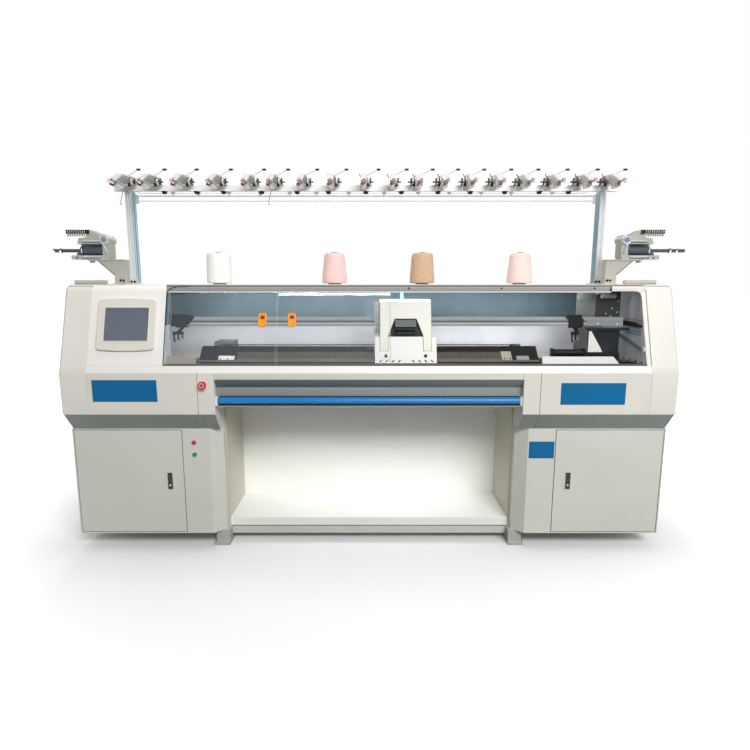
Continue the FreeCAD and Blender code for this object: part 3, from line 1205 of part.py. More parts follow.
def side_comb(x):
    """Row of yarn guides: a bar on the nose with short teeth under it."""
    y0 = BODY_FRONT - 8
    comb = block(x + 2, x + 113, y0, BODY_FRONT, unit_z + 118, unit_z + 136)
    for step in range(8):
        tooth_x = x + 26 + step * 11
        comb = comb.fuse(block(tooth_x, tooth_x + 5, y0, BODY_FRONT, unit_z + 106, unit_z + 118))
    return comb.removeSplitter()


def side_arm(x):
    """Guide arm beside the roller, on a lug of the body's foot."""
    lug = block(x + 54, x + 66, side_roller_y - 8, side_roller_y + 8, unit_z + 19, side_roller_z)
    start = (x + 54, side_roller_y, side_roller_z)
    return join(lug, faceted(start, (ARM_REACH, side_roller_y, side_roller_z), ARM_RADIUS, 12))


def deck_bar(x):
    """Short round bar that lies across the joint of the deck and the end cover."""
    y = LEAN_TOP_Y + 44.0
    z = DECK_TOP + DECK_BAR_RADIUS
    return faceted((x - 75, y, z), (x + 75, y, z), DECK_BAR_RADIUS, 16)


unit_xs = (SIDE_UNIT_HALF + left_more, SIDE_UNIT_HALF + right_more)
nodes["left_side_roller"] = flipped(side_roller(unit_xs[0]))
nodes["right_side_roller"] = side_roller(unit_xs[1])
unit_bodies = [Part.Compound([side_body(x), side_comb(x)]) for x in unit_xs]
unit_carriers = [Part.Compound([side_bracket(x), side_arm(x), deck_bar(x)]) for x in unit_xs]
nodes["side_bodies"] = Part.Compound([flipped(unit_bodies[0]), unit_bodies[1]])
nodes["side_brackets"] = Part.Compound([flipped(unit_carriers[0]), unit_carriers[1]])

# ================================================================ yarn cones
TUBE_FLANGE = 6.0


def ring_wire(x, z, radius, sides):
    corners = [Vector(x + radius * math.cos(2 * math.pi * index / sides),
                      CONE_Y + radius * math.sin(2 * math.pi * index / sides), z) for index in range(sides)]
    return Part.makePolygon(corners + corners[:1])


def yarn_cone(x, top_radius):
    """Wound package: straight flanks with a small round at the foot and at the shoulder."""
    z0 = DECK_TOP + TUBE_FLANGE
    sections = [(CONE_RADIUS - 4, 0), (CONE_RADIUS, 6), (top_radius + 2, CONE_HEIGHT - 10),
                (top_radius - 5, CONE_HEIGHT - 6)]
    return Part.makeLoft([ring_wire(x, z0 + z, radius, 18) for radius, z in sections], True, True)


def cone_tube(x, base):
    """The parts of the paper tube that show: the foot under the package and the nose above it."""
    nose_low = DECK_TOP + TUBE_FLANGE + CONE_HEIGHT - 6
    foot_disc = faceted((x, CONE_Y, DECK_TOP), (x, CONE_Y, DECK_TOP + TUBE_FLANGE), base, 12)
    nose = faceted((x, CONE_Y, nose_low), (x, CONE_Y, nose_low + 14), 18.0, 8)
    return [foot_disc, nose]


nodes["yarn_cones"] = Part.Compound([yarn_cone(x, top) for x, top in zip(CONE_X, CONE_TOPS)]
                                    + [solid for x in CONE_X for solid in cone_tube(x, 38.0)])

# ================================================================ write one file for each node
os.makedirs("parts", exist_ok=True)
for name, shape in nodes.items():
    shape = moved(shape, 0, -Y_MIDDLE, 0)
    for solid in shape.Solids:
        if not solid.isValid() or solid.Volume <= 0:
            print("check", name)
    shape.exportStep("parts/" + name + ".step")
whole = Part.Compound([moved(shape, 0, -Y_MIDDLE, 0) for shape in nodes.values()]).BoundBox
print(len(nodes), "nodes; box", [round(v, 2) for v in (whole.XMin, whole.XMax, whole.YMin, whole.YMax,
                                                        whole.ZMin, whole.ZMax)])
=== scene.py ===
# Looks of the flat knitting machine: finishes, small parts, floor, light and camera.
# Metres. X runs along the needle beds, Y from the front to the back, Z up from the floor.
import math

import bmesh
import bpy
from mathutils import Matrix, Vector


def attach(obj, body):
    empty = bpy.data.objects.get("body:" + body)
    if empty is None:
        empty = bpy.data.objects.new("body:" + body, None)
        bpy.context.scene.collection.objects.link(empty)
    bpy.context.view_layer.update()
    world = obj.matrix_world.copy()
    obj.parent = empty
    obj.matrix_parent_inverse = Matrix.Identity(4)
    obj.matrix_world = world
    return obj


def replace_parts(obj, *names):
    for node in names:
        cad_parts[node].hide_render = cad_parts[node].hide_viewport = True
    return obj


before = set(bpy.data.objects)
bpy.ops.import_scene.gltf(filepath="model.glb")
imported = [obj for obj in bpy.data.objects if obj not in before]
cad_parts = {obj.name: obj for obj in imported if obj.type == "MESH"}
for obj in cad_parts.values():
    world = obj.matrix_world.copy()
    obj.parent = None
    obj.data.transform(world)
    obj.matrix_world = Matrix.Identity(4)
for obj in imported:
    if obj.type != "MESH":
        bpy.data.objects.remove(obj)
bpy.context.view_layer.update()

MM = 0.001
PANEL_Y = -427.0          # the plane of the front panels, in millimetres; depths below start there
LEAN = math.radians(18.0)  # how far the window and the screen panel lean back
LEDGE_Y = 13.0
LEDGE_Z = 912.0


def at(x, depth, z):
    """A point given in millimetres: across, behind the front panels, above the floor."""
    return Vector((x * MM, (PANEL_Y + depth) * MM, z * MM))


def lean_depth(z, foot=LEDGE_Y):
    return foot + (z - LEDGE_Z) * math.tan(LEAN)


# ---- shapes in bmesh
def cuboid(bm, x0, x1, y0, y1, z0, z1, spin=None):
    low = at(x0, y0, z0)
    high = at(x1, y1, z1)
    size = high - low
    place = Matrix.Translation((low + high) / 2)
    if spin:
        place = place @ Matrix.Rotation(spin[0], 4, spin[1])
    place = place @ Matrix.Diagonal((size.x, size.y, size.z, 1))
    return bmesh.ops.create_cube(bm, size=1.0, matrix=place)["verts"]


def bar(bm, start, end, radius, sides=16, far_radius=None):
    """A round bar, or a cone where far_radius is given, between two points."""
    a = at(*start)
    b = at(*end)
    line = b - a
    turn = line.to_track_quat("Z", "Y").to_matrix().to_4x4()
    place = Matrix.Translation((a + b) / 2) @ turn
    far = radius if far_radius is None else far_radius
    cone = bmesh.ops.create_cone(bm, cap_ends=True, cap_tris=False, segments=sides, radius1=radius * MM,
            radius2=far * MM, depth=line.length, matrix=place)
    return cone["verts"]


def prism(bm, outline, push):
    """A flat outline given by points, pushed along a vector given in millimetres."""
    face = bm.faces.new([bm.verts.new(at(*point)) for point in outline])
    pushed = bmesh.ops.extrude_face_region(bm, geom=[face])
    verts = [item for item in pushed["geom"] if isinstance(item, bmesh.types.BMVert)]
    bmesh.ops.translate(bm, verts=verts, vec=Vector(push) * MM)
    return verts


def ball(bm, centre, radius, squash=(1, 1, 1)):
    place = Matrix.Translation(at(*centre)) @ Matrix.Diagonal((*squash, 1))
    return bmesh.ops.create_icosphere(bm, subdivisions=2, radius=radius * MM, matrix=place)["verts"]


def ring(bm, centre, radius, thickness, axis="Y", steps=20, sides=8):
    """Round wire bent to a ring: its section is spun about the axis through the centre."""
    middle = at(*centre)
    about = Vector([float(axis == letter) for letter in "XYZ"])
    out = Vector((1, 0, 0)) if axis == "Z" else Vector((0, 0, 1))
    turn = about.cross(out).to_track_quat("Z", "Y").to_matrix().to_4x4()
    place = Matrix.Translation(middle + out * radius * MM) @ turn
    circle = bmesh.ops.create_circle(bm, segments=sides, radius=thickness * MM, matrix=place)
    edges = list({edge for vert in circle["verts"] for edge in vert.link_edges})
    bmesh.ops.spin(bm, geom=circle["verts"] + edges, cent=middle, axis=about, dvec=(0, 0, 0),
            angle=math.tau, steps=steps, use_merge=True)


def screws(bm, points, radius=4.0, head=2.0, sides=12):
    """Round screw heads that face the front."""
    for x, y, z in points:
        bar(bm, (x, y + 0.5, z), (x, y - head, z), radius, sides, radius * 0.85)


def on_lean(x, z, foot, u, v, w):
    """A point on a plane that leans like the window: u across, v up the slope, w out of it."""
    depth = lean_depth(z, foot) + v * math.sin(LEAN) - w * math.cos(LEAN)
    return x + u, depth, z + v * math.cos(LEAN) + w * math.sin(LEAN)


def lean_plate(bm, x, z, foot, width, height, low, high):
    """A flat plate on such a plane, from low to high above it."""
    corners = [(-width / 2, -height / 2), (width / 2, -height / 2), (width / 2, height / 2),
            (-width / 2, height / 2)]
    push = (0, -math.cos(LEAN) * (high - low), math.sin(LEAN) * (high - low))
    return prism(bm, [on_lean(x, z, foot, u, v, low) for u, v in corners], push)


def in_scene(name, data):
    piece = bpy.data.objects.new(name, data)
    bpy.context.scene.collection.objects.link(piece)
    return piece


def wire(name, runs, radius, material, closed=False):
    """Bent wires on the machine, each through the given points."""
    curve = bpy.data.curves.new(name, "CURVE")
    curve.dimensions = "3D"
    curve.bevel_depth = radius * MM
    curve.bevel_resolution = 2
    curve.resolution_u = 6
    curve.use_fill_caps = True
    for run in runs:
        line = curve.splines.new("NURBS")
        line.points.add(len(run) - 1)
        for knot, point in zip(line.points, run):
            knot.co = (*at(*point), 1)
        line.use_cyclic_u = closed
        line.order_u = 3
        line.use_endpoint_u = not closed
    curve.materials.append(material)
    piece = in_scene(name, curve)
    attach(piece, "machine")
    return piece


def piece_from(bm, name, material, body, slot, bevel=0.0, angle=35.0, recalc=True):
    if recalc:
        bmesh.ops.recalc_face_normals(bm, faces=bm.faces)
    mesh = bpy.data.meshes.new(name)
    bm.to_mesh(mesh)
    bm.free()
    piece = in_scene(name, mesh)
    mesh.materials.append(material)
    mesh.shade_smooth()
    mesh.set_sharp_from_angle(angle=math.radians(angle))
    if bevel:
        rounded(piece, bevel)
    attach(piece, body)
    return piece


def rounded(piece, width, segments=2):
    edge = piece.modifiers.new("Rounded edges", "BEVEL")
    edge.width = width * MM
    edge.segments = segments
    edge.limit_method = "ANGLE"
    edge.angle_limit = math.radians(32)
    edge.use_clamp_overlap = True
    edge.harden_normals = True


def made(name, material, slot, build, bevel=0.0, body="machine"):
    bm = bmesh.new()
    build(bm)
    return piece_from(bm, name, material, body, slot, bevel)


def black(name, build, bevel=0.0, body="machine"):
    """A small part of black nylon."""
    return made(name, black_mould, "black_parts", build, bevel, body)


def trim(name, finish, build, bevel=0.0):
    """A thin part on the casing."""
    return made(name, finish, "casing_grey", build, bevel)


def bars(rows):
    return lambda bm: [bar(bm, *row) for row in rows]


def boxes(rows):
    return lambda bm: [cuboid(bm, *row) for row in rows]


def plate(outline, push):
    return lambda bm: prism(bm, outline, push)


def solids_of(bm):
    """The separate solids of a mesh, each with its faces and the middle of its box in millimetres."""
    left = set(bm.faces)
    while left:
        solid = {left.pop()}
        edge_of = list(solid)
        while edge_of:
            near = {other for edge in edge_of.pop().edges for other in edge.link_faces} & left
            left -= near
            solid |= near
            edge_of.extend(near)
        points = [vert.co for face in solid for vert in face.verts]
        middle = [(min(p[i] for p in points) + max(p[i] for p in points)) / 2 / MM for i in range(3)]
        yield list(solid), (middle[0], middle[1] - PANEL_Y, middle[2])


def softened(node, material, slot, width, name="finished", keep=None, shading=None, body="machine"):
    """The CAD piece with its sharp edges rounded, as folded sheet and mouldings have.
    With keep, only its solids whose middle (x, depth, z) passes the test. Given a second finish, the faces
    that slope down to the front carry it as painted shade, where they face away from the light."""
    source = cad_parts[node]
    bm = bmesh.new()
    bm.from_mesh(source.data)
    bmesh.ops.remove_doubles(bm, verts=bm.verts, dist=0.00002)
    if keep:
        others = [faces for faces, middle in solids_of(bm) if not keep(*middle)]
        bmesh.ops.delete(bm, geom=[face for faces in others for face in faces], context="FACES")
    bmesh.ops.dissolve_limit(bm, angle_limit=math.radians(1.0), verts=bm.verts, edges=bm.edges)
    # faces that slope down to the front get the darker grey-green: painted shade
    if shading:
        for face in bm.faces:
            if face.normal.y < -0.3 and face.normal.z < -0.3 and face.calc_area() > 0.001:
                face.material_index = 1
    piece = piece_from(bm, node + "_" + name, material, body, slot, width, recalc=False)
    if shading:
        piece.data.materials.append(shading)
    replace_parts(piece, node)
    return piece


# ---- materials
def linear(code):
    """An sRGB hex colour as linear values."""
    values = [int(code[index:index + 2], 16) / 255 for index in (1, 3, 5)]
    return [value / 12.92 if value <= 0.04045 else ((value + 0.055) / 1.055) ** 2.4
            for value in values] + [1.0]


def add(tree, kind, links=None, **settings):
    """Adds one node: plain settings first, then its sockets' values, then its links."""
    node = tree.nodes.new("ShaderNode" + kind)
    for key, value in settings.items():
        if hasattr(node, key):
            setattr(node, key, value)
        else:
            node.inputs[key.replace("_", " ")].default_value = value
    for socket, source in (links or {}).items():
        tree.links.new(source, node.inputs[socket])
    return node


def material(name, color, roughness, metallic=0.0, **sockets):
    """A new material with its shader; returns the material, its tree and its shader."""
    new = bpy.data.materials.new(name)
    new.use_nodes = True
    tree = new.node_tree
    shader = tree.nodes["Principled BSDF"]
    shader.inputs["Base Color"].default_value = linear(color)
    shader.inputs["Roughness"].default_value = roughness
    shader.inputs["Metallic"].default_value = metallic
    for key, value in sockets.items():
        shader.inputs[key.replace("_", " ")].default_value = value
    return new, tree, shader


def place_of(tree, scale=(1, 1, 1)):
    coords = add(tree, "TexCoord")
    return add(tree, "Mapping", {"Vector": coords.outputs["Object"]}, Scale=scale).outputs["Vector"]


def noise(tree, place, scale, detail=2.0, **more):
    return add(tree, "TexNoise", {"Vector": place}, Scale=scale, Detail=detail, **more).outputs["Fac"]


def two_tone(tree, shader, source, light, dark, low=0.35, high=0.65):
    """Colour that moves between two close tones as the source goes from low to high."""
    ramp = add(tree, "ValToRGB", {"Fac": source})
    ramp.color_ramp.elements[0].position = low
    ramp.color_ramp.elements[1].position = high
    ramp.color_ramp.elements[0].color = linear(dark)
    ramp.color_ramp.elements[1].color = linear(light)
    tree.links.new(ramp.outputs["Color"], shader.inputs["Base Color"])


def roughness_from(tree, shader, source, low, high):
    spread = add(tree, "MapRange", {"Value": source}, To_Min=low, To_Max=high)
    tree.links.new(spread.outputs["Result"], shader.inputs["Roughness"])


def grained(tree, shader, source, roughness, spread, strength, distance):
    """Fine grain in the sheen and in the surface, both from one source."""
    roughness_from(tree, shader, source, roughness - spread, roughness + spread)
    relief(tree, shader, source, strength, distance)


def relief(tree, shader, source, strength, distance):
    bump = add(tree, "Bump", {"Height": source}, Strength=strength, Distance=distance)
    tree.links.new(bump.outputs["Normal"], shader.inputs["Normal"])


def coat(name, light, dark, roughness=0.42, **sockets):
    """Baked powder paint on sheet steel: an even satin coat with a faint orange peel."""
    new, tree, shader = material(name, light, roughness, IOR=1.5, **sockets)
    place = place_of(tree)
    # the real peel is about 1 mm; it is drawn at 8 mm so that it shows as a soft break in the sheen
    peel = noise(tree, place, 120.0, 3.0)
    cloud = noise(tree, place, 3.0, 2.0)
    two_tone(tree, shader, cloud, light, dark, 0.3, 0.7)
    grained(tree, shader, peel, roughness, 0.06, 0.08, 0.0004)
    return new


def drawn_metal(name, light, dark, roughness, stretch=(1, 1, 1)):
    """Extruded, rolled or ground metal: fine lines along the way it was worked."""
    new, tree, shader = material(name, light, roughness, 1.0)
    place = place_of(tree, stretch)
    # real lines are about 0.1 mm apart; drawn 3 mm apart so that they show
    lines = noise(tree, place, 300.0, 4.0)
    two_tone(tree, shader, lines, light, dark, 0.3, 0.7)
    grained(tree, shader, lines, roughness, 0.08, 0.1, 0.0002)
    return new


def moulded(name, light, dark, roughness, grain=400.0, depth=0.0002, strength=0.25, **sockets):
    """Injection-moulded plastic with the fine spark-eroded grain of its mould."""
    new, tree, shader = material(name, light, roughness, IOR=1.46, **sockets)
    place = place_of(tree)
    speck = noise(tree, place, grain, 2.0)
    two_tone(tree, shader, speck, light, dark, 0.25, 0.75)
    grained(tree, shader, speck, roughness, 0.05, strength, depth)
    return new


casing_white = coat("Powder coated sheet, warm white", "#E6E3DA", "#E1DED5")
ledge_white = coat("Powder coated sheet, ledge white", "#EDECE6", "#E8E7E1")
# painted shade: a darker beige copy of the knee space's white, for its side walls in shade
knee_side_painted_shade = coat("Powder coated sheet, beige in the knee space", "#CCC9BA", "#C5C2B3")
knee_white = coat("Powder coated sheet, bright white", "#F9F9F4", "#F4F4EF")
cabinet_white = coat("Powder coated sheet, grey white", "#DBDBD1", "#D5D5CB")
painted_underside_shade = coat("Powder coated band, grey-green", "#9EA8A4", "#98A29E")
# painted shade: grey-green for the casing's faces that slope down to the front, away from the light
screen_white = coat("Powder coated sheet, screen panel", "#F5F1EC", "#F0ECE7")
casing_shade = coat("Powder coated sheet, pale grey", "#D3D3CC", "#CCCDC6")
frame_grey = coat("Painted casting, grey-green", "#B9BCB2", "#AFB3A9", 0.5)
wall_grey = coat("Powder coated sheet, inside grey", "#DDE0E4", "#D2D5D9", 0.4)
track_brown = coat("Painted window track, brown grey", "#5A5652", "#53504C", 0.5)
post_grey = coat("Painted post of the carriage, grey", "#AEB0AC", "#A5A7A3", 0.45)
plate_grey = coat("Painted bracket plate, grey", "#8B908E", "#808583", 0.45)
hanger_grey = coat("Painted hanger plate, grey-green", "#525957", "#4B5250", 0.5)
rod_white = coat("Lacquered rod, silver white", "#A9A9A6", "#A0A09D", 0.35)
gusset_white = coat("Painted bracket, clean white", "#E9E9E6", "#E3E3E0", 0.4)
casting_grey = coat("Painted casting, dark grey", "#6E7476", "#63696B", 0.55)
unit_grey = coat("Painted die casting, warm grey", "#BDBBB0", "#B2B1A7", 0.45)
azure_coat = coat("Enamelled bar, bright blue", "#0A80C8", "#0977BC", 0.28)
plate_blue = coat("Printed plate, strong blue", "#0A6CA2", "#086598", 0.4, Specular_IOR_Level=0.2)
navy_coat = coat("Painted bracket, blue-black", "#171C24", "#12171E", 0.5, Specular_IOR_Level=0.2)


def shade_stepped_coat(name, bottom, top, steps):
    """Satin paint whose tone changes with the height: painted light and shade, as the folds of the apron
    catch the light.
    """
    new, tree, shader = material(name, steps[0][1], 0.42, IOR=1.5)
    place = place_of(tree)
    height = add(tree, "SeparateXYZ", {"Vector": place})
    rise = add(tree, "MapRange", {"Value": height.outputs["Z"]}, From_Min=bottom, From_Max=top)
    ramp = add(tree, "ValToRGB", {"Fac": rise.outputs["Result"]})
    for index, (z, color) in enumerate(steps):
        stop = ramp.color_ramp.elements[index] if index < 2 else ramp.color_ramp.elements.new(1.0)
        stop.position = (z - bottom) / (top - bottom)
        stop.color = linear(color)
    tree.links.new(ramp.outputs["Color"], shader.inputs["Base Color"])
    peel = noise(tree, place, 120.0, 3.0)
    roughness_from(tree, shader, peel, 0.38, 0.5)
    relief(tree, shader, peel, 0.08, 0.0004)
    return new


# the slate grey bands under the cream are painted shade, for the folds of the apron that face down under
# the ledge
apron_painted_shade = shade_stepped_coat("Powder coated apron, cream over slate grey", 0.76, 0.88,
        [(0.76, "#8E918F"), (0.8105, "#8E918F"), (0.8115, "#65706F"), (0.8515, "#727D7E"),
        (0.8525, "#DEDCD2"), (0.88, "#DEDCD2")])
rail_metal = drawn_metal("Anodised aluminium extrusion", "#D5D6D6", "#C6C8C9", 0.36, (0.02, 1, 1))
silver_rail = coat("Satin silver lacquer on the top rail", "#BDBAB5", "#B4B2AD", 0.34)
stand_white = coat("White lacquered tube", "#FBFBFA", "#F7F7F6", 0.38)
post_metal = coat("Satin anodised post", "#E2E4E4", "#D9DCDC", 0.36)
# painted reflection and shade: the blue that the posts' side faces show
post_side_reflection = coat("Blue shine in the post's side", "#86B4C6", "#76A7BC", 0.3)
bed_steel = drawn_metal("Oiled bed steel, brown grey", "#77716B", "#615B57", 0.5, (1, 0.05, 0.05))
needle_steel = drawn_metal("Blued needle steel", "#3A3735", "#2B2928", 0.45, (1, 0.05, 0.05))
plated_steel = drawn_metal("Zinc plated steel", "#CDD0D1", "#B9BDBF", 0.36)
bright_chrome = drawn_metal("Chromed brass", "#DFE5E8", "#CFD6DA", 0.18)
pale_steel = coat("Pale blue lacquered steel", "#C5D3DB", "#B6C6D0", 0.3)
black_mould = moulded("Black nylon moulding", "#151618", "#0F1012", 0.5, Specular_IOR_Level=0.25)
umber_mould = moulded("Dark brown-grey bracket", "#302E2B", "#282624", 0.5, Specular_IOR_Level=0.3)
dark_green_mould = moulded("Dark green lock moulding", "#2C3833", "#25302B", 0.5)
slate_mould = moulded("Slate grey head plate", "#48534F", "#3E4945", 0.45)
arch_mould = moulded("Cream ABS arch", "#D8D6CA", "#D1CFC3", 0.35)
inner_white = moulded("Grey-white ABS cover", "#D6D6D4", "#D0D0CE", 0.4)
bezel_mould = moulded("Cream-grey bezel moulding", "#E4E0D6", "#DEDAD0", 0.38)
white_mould = moulded("White ABS moulding", "#DBDBD8", "#D6D6D3", 0.34)
taupe_mould = moulded("Beige-brown cover", "#A39C91", "#978F85", 0.4)
head_mould = moulded("Pale tension housing", "#DCDEDC", "#D2D5D3", 0.4)
# painted shade for the side faces of the pale tension housings
head_side_painted_shade = moulded("Grey side of a tension housing", "#8D9490", "#818985", 0.45)
star_mould = moulded("Dark grey tension knob", "#46494C", "#383B3E", 0.45)
orange_mould = moulded("Orange ABS moulding", "#F9A01F", "#F19718", 0.35)
red_mould = moulded("Red ABS moulding", "#C8252B", "#BC1F26", 0.3)
lamp_red = moulded("Red signal lens", "#D8382F", "#C92E28", 0.22, grain=120.0)
dark_red_mould = moulded("Dark red lever", "#7C1A1C", "#6C1517", 0.4)
green_mould = moulded("Green ABS moulding", "#1F8A4C", "#1A8045", 0.3)
magenta_wire = moulded("Magenta coated guide wire", "#BF4483", "#AE3873", 0.35)
pink_label = moulded("Pink label strip", "#C9869B", "#BD788E", 0.5)
cyan_label = moulded("Sky blue label strip", "#6EC3DC", "#5FB6D1", 0.5)
rubber = moulded("Friction rubber", "#26282A", "#1B1D1F", 0.7, grain=700.0, depth=0.0004, strength=0.4)
slate_rubber = moulded("Slate friction rubber", "#4C5361", "#414855", 0.6, grain=700.0, depth=0.0004)
display_glass = moulded("Glass over a grey-blue display", "#6B7380", "#666E7B", 0.1, grain=20.0,
        strength=0.02)


def clear_sheet(name):
    """Polycarbonate sheet: nearly all light passes, the polished faces mirror the room a little."""
    new, tree, shader = material(name, "#C6D6DE", 0.05, IOR=1.5, Alpha=0.045)
    place = place_of(tree)
    waves = noise(tree, place, 4.0, 1.0)
    relief(tree, shader, waves, 0.05, 0.002)
    return new


def wound_yarn(name, light, dark):
    """Cross-wound package: strands climb the flank both ways, each pass in its own shade."""
    new, tree, shader = material(name, light, 0.85, Sheen_Weight=0.4, Sheen_Roughness=0.4)
    coords = add(tree, "UVMap", uv_map="winding")
    strands = []
    for turn in (0.30, -0.30):
        lay = add(tree, "Mapping", {"Vector": coords.outputs["UV"]}, Rotation=(0, 0, turn),
                Scale=(1, 16, 1))
        # strands are about 1 mm thick; drawn 2 to 3 mm apart
        strands.append(noise(tree, lay.outputs["Vector"], 26.0, 3.0))
    both = add(tree, "Math", {0: strands[0], 1: strands[1]}, operation="ADD")
    half = add(tree, "Math", {0: both.outputs["Value"]}, operation="MULTIPLY")
    half.inputs[1].default_value = 0.5
    two_tone(tree, shader, half.outputs["Value"], light, dark, 0.36, 0.62)
    relief(tree, shader, half.outputs["Value"], 0.6, 0.001)
    return new


def mottled_sheet(name, light, dark, metallic, roughness):
    """Rear panels of brushed stainless sheet: soft clouds of painted reflection where they mirror the
    bright room.
    """
    new, tree, shader = material(name, light, roughness, metallic)
    place = place_of(tree, (1, 1, 0.6))
    cloud = noise(tree, place, 5.0, 5.0, Distortion=0.6)
    lines = noise(tree, place_of(tree, (0.05, 1, 1)), 260.0, 3.0)
    two_tone(tree, shader, cloud, light, dark, 0.35, 0.68)
    roughness_from(tree, shader, lines, roughness - 0.08, roughness + 0.1)
    relief(tree, shader, lines, 0.12, 0.0003)
    return new


def ringed_mould(name, base, mark, x, z, inner, outer):
    """Moulded button with a printed ring round its middle; places and radii in metres."""
    grow = 40.0  # brings the button's 18 mm radius to the length of the colour ramp
    new, tree, shader = material(name, base, 0.3, IOR=1.46)
    coords = add(tree, "TexCoord")
    shift = add(tree, "Mapping", {"Vector": coords.outputs["Object"]},
            Location=(-x * grow, 0, -z * grow), Scale=(grow, 0, grow))
    reach = add(tree, "VectorMath", {0: shift.outputs["Vector"]}, operation="LENGTH")
    ramp = add(tree, "ValToRGB", {"Fac": reach.outputs["Value"]})
    ramp.color_ramp.interpolation = "CONSTANT"
    ramp.color_ramp.elements.new(outer * grow)
    steps = ((0.0, base), (inner * grow, mark), (outer * grow, base))
    for stop, (place, color) in zip(ramp.color_ramp.elements, steps):
        stop.position = place
        stop.color = linear(color)
    tree.links.new(ramp.outputs["Color"], shader.inputs["Base Color"])
    return new


estop_red = ringed_mould("Red button with a pale ring", "#D0262E", "#F0C6C6", -0.752, 0.829, 0.0082, 0.0108)
polycarbonate = clear_sheet("Clear polycarbonate sheet")
# one sheet in two tones of painted light: blue grey where the deck's shadow falls, lavender white where
# light comes through the window
upper_sheet_painted_shade = mottled_sheet("Brushed sheet, blue grey", "#6D828E", "#5F747F", 0.1, 0.45)
lower_sheet_painted_light = mottled_sheet("Brushed sheet, lavender white", "#F0F2FA", "#DEE2EC", 0.1, 0.45)
amber_mould = moulded("Tan ceramic tip", "#D9B58A", "#CBA67A", 0.35)
satin_rail = coat("Satin anodised feeder rail", "#919495", "#878A8B", 0.36)
# flat strips on the feeder rail: a line of painted shadow and a line of painted highlight
rail_shade = coat("Shaded groove of the feeder rail", "#55585B", "#4D5053", 0.4)
rail_painted_highlight = coat("Highlighted edge of the feeder rail", "#BAB8BA", "#B0AFB1", 0.3)
sky_strap = moulded("Light blue strap", "#5FA3BE", "#5597B2", 0.5)
card = moulded("Waxed card tube", "#8D8781", "#7A746E", 0.7, grain=300.0)

# ---- the CAD pieces and their finishes
casing = [
    ("cabinets", cabinet_white, "casing_white", 1.6),
    ("left_door", cabinet_white, "casing_white", 1.6, "left_door_body"),
    ("right_door", cabinet_white, "casing_white", 1.6, "right_door_body"),
    ("front_ledge", ledge_white, "casing_white", 2.0),
    ("fabric_tray", knee_white, "casing_white", 1.5),
    ("apron", apron_painted_shade, "casing_grey", 1.2),
    ("screen_housing", screen_white, "screen_grey", 1.5),
    ("screen_bezel", bezel_mould, "cream", 4.0),
    ("deck", casing_white, "casing_grey", 1.0),
    ("window_frame", casing_white, "casing_grey", 3.0),
    ("feet", frame_grey, "machine_grey", 2.0),
    ("base_frame", casing_shade, "machine_grey", 1.5),
    ("bed_end_blocks", black_mould, "black_parts", 1.5),
    ("end_fittings", navy_coat, "black_parts", 1.0),
    ("wall_levers", black_mould, "black_parts", 0.6),
    ("carriage_arch", arch_mould, "cream", 4.0, "carriage"),
    ("carriage_cover", white_mould, "cream", 2.5, "carriage"),
    ("cam_boxes", black_mould, "black_parts", 2.0, "carriage"),
    ("side_bodies", unit_grey, "casing_grey", 2.5),
    ("left_cover_pull", orange_mould, "orange", 1.2, "left_window_cover"),
    ("right_cover_pull", orange_mould, "orange", 1.2, "right_window_cover"),
    ("lock_handle_left", dark_green_mould, "lock", 0.8, "left_handle"),
    ("lock_handle_right", dark_green_mould, "lock", 0.8, "right_handle"),
    ("yarn_feeder_1", black_mould, "black_parts", 0.8, "feeder_1"),
    ("yarn_feeder_2", black_mould, "black_parts", 0.8, "feeder_2"),
    ("yarn_feeder_3", black_mould, "black_parts", 0.8, "feeder_3"),
    ("rail_hangers", plate_grey, "black_parts", 0.6),
    ("tension_heads", head_mould, "casing_grey", 1.5),
    ("stand_posts", post_metal, "rails", 1.0),
    ("stand_rails", stand_white, "rails", 1.0),
]
for node, finish, slot, width, *body in casing:
    softened(node, finish, slot, width, body=body[0] if body else "machine")
# the covers' faces that slope down to the front carry painted shade
softened("lower_covers", casing_white, "casing_white", 1.6, shading=painted_underside_shade)
softened("end_covers", casing_white, "casing_white", 4.0, shading=painted_underside_shade)

split = [
    ("knee_walls", "back", knee_white, "casing_grey", 1.0, lambda x, y, z: abs(x) < 300),
    # the knee space's side walls get painted shade, its back the bright white
    ("knee_walls", "sides", knee_side_painted_shade, "casing_grey", 1.0, lambda x, y, z: abs(x) > 300),
    ("window_rails", "top", silver_rail, "casing_grey", 1.0, lambda x, y, z: z > 1100),
    ("window_rails", "track", track_brown, "casing_grey", 1.0, lambda x, y, z: z < 1100),
    ("inner_covers", "left", taupe_mould, "cream", 2.5, lambda x, y, z: x < 0),
    ("inner_covers", "right", inner_white, "cream", 2.5, lambda x, y, z: x > 0),
    ("side_brackets", "arms", slate_rubber, "casing_grey", 1.0, lambda x, y, z: z > 1412),
    ("side_brackets", "feet", unit_grey, "casing_grey", 1.2, lambda x, y, z: 1292 < z < 1412),
    ("side_brackets", "deck_bars", unit_grey, "casing_grey", 1.0, lambda x, y, z: z < 1292),
]
for node, name, finish, slot, width, keep in split:
    softened(node, finish, slot, width, name, keep)
softened("carriage_fittings", post_grey, "steel", 0.6, "post", lambda x, y, z: y < 200, body="carriage")
softened("carriage_fittings", sky_strap, "steel", 0.4, "strap", lambda x, y, z: y > 200, body="carriage")

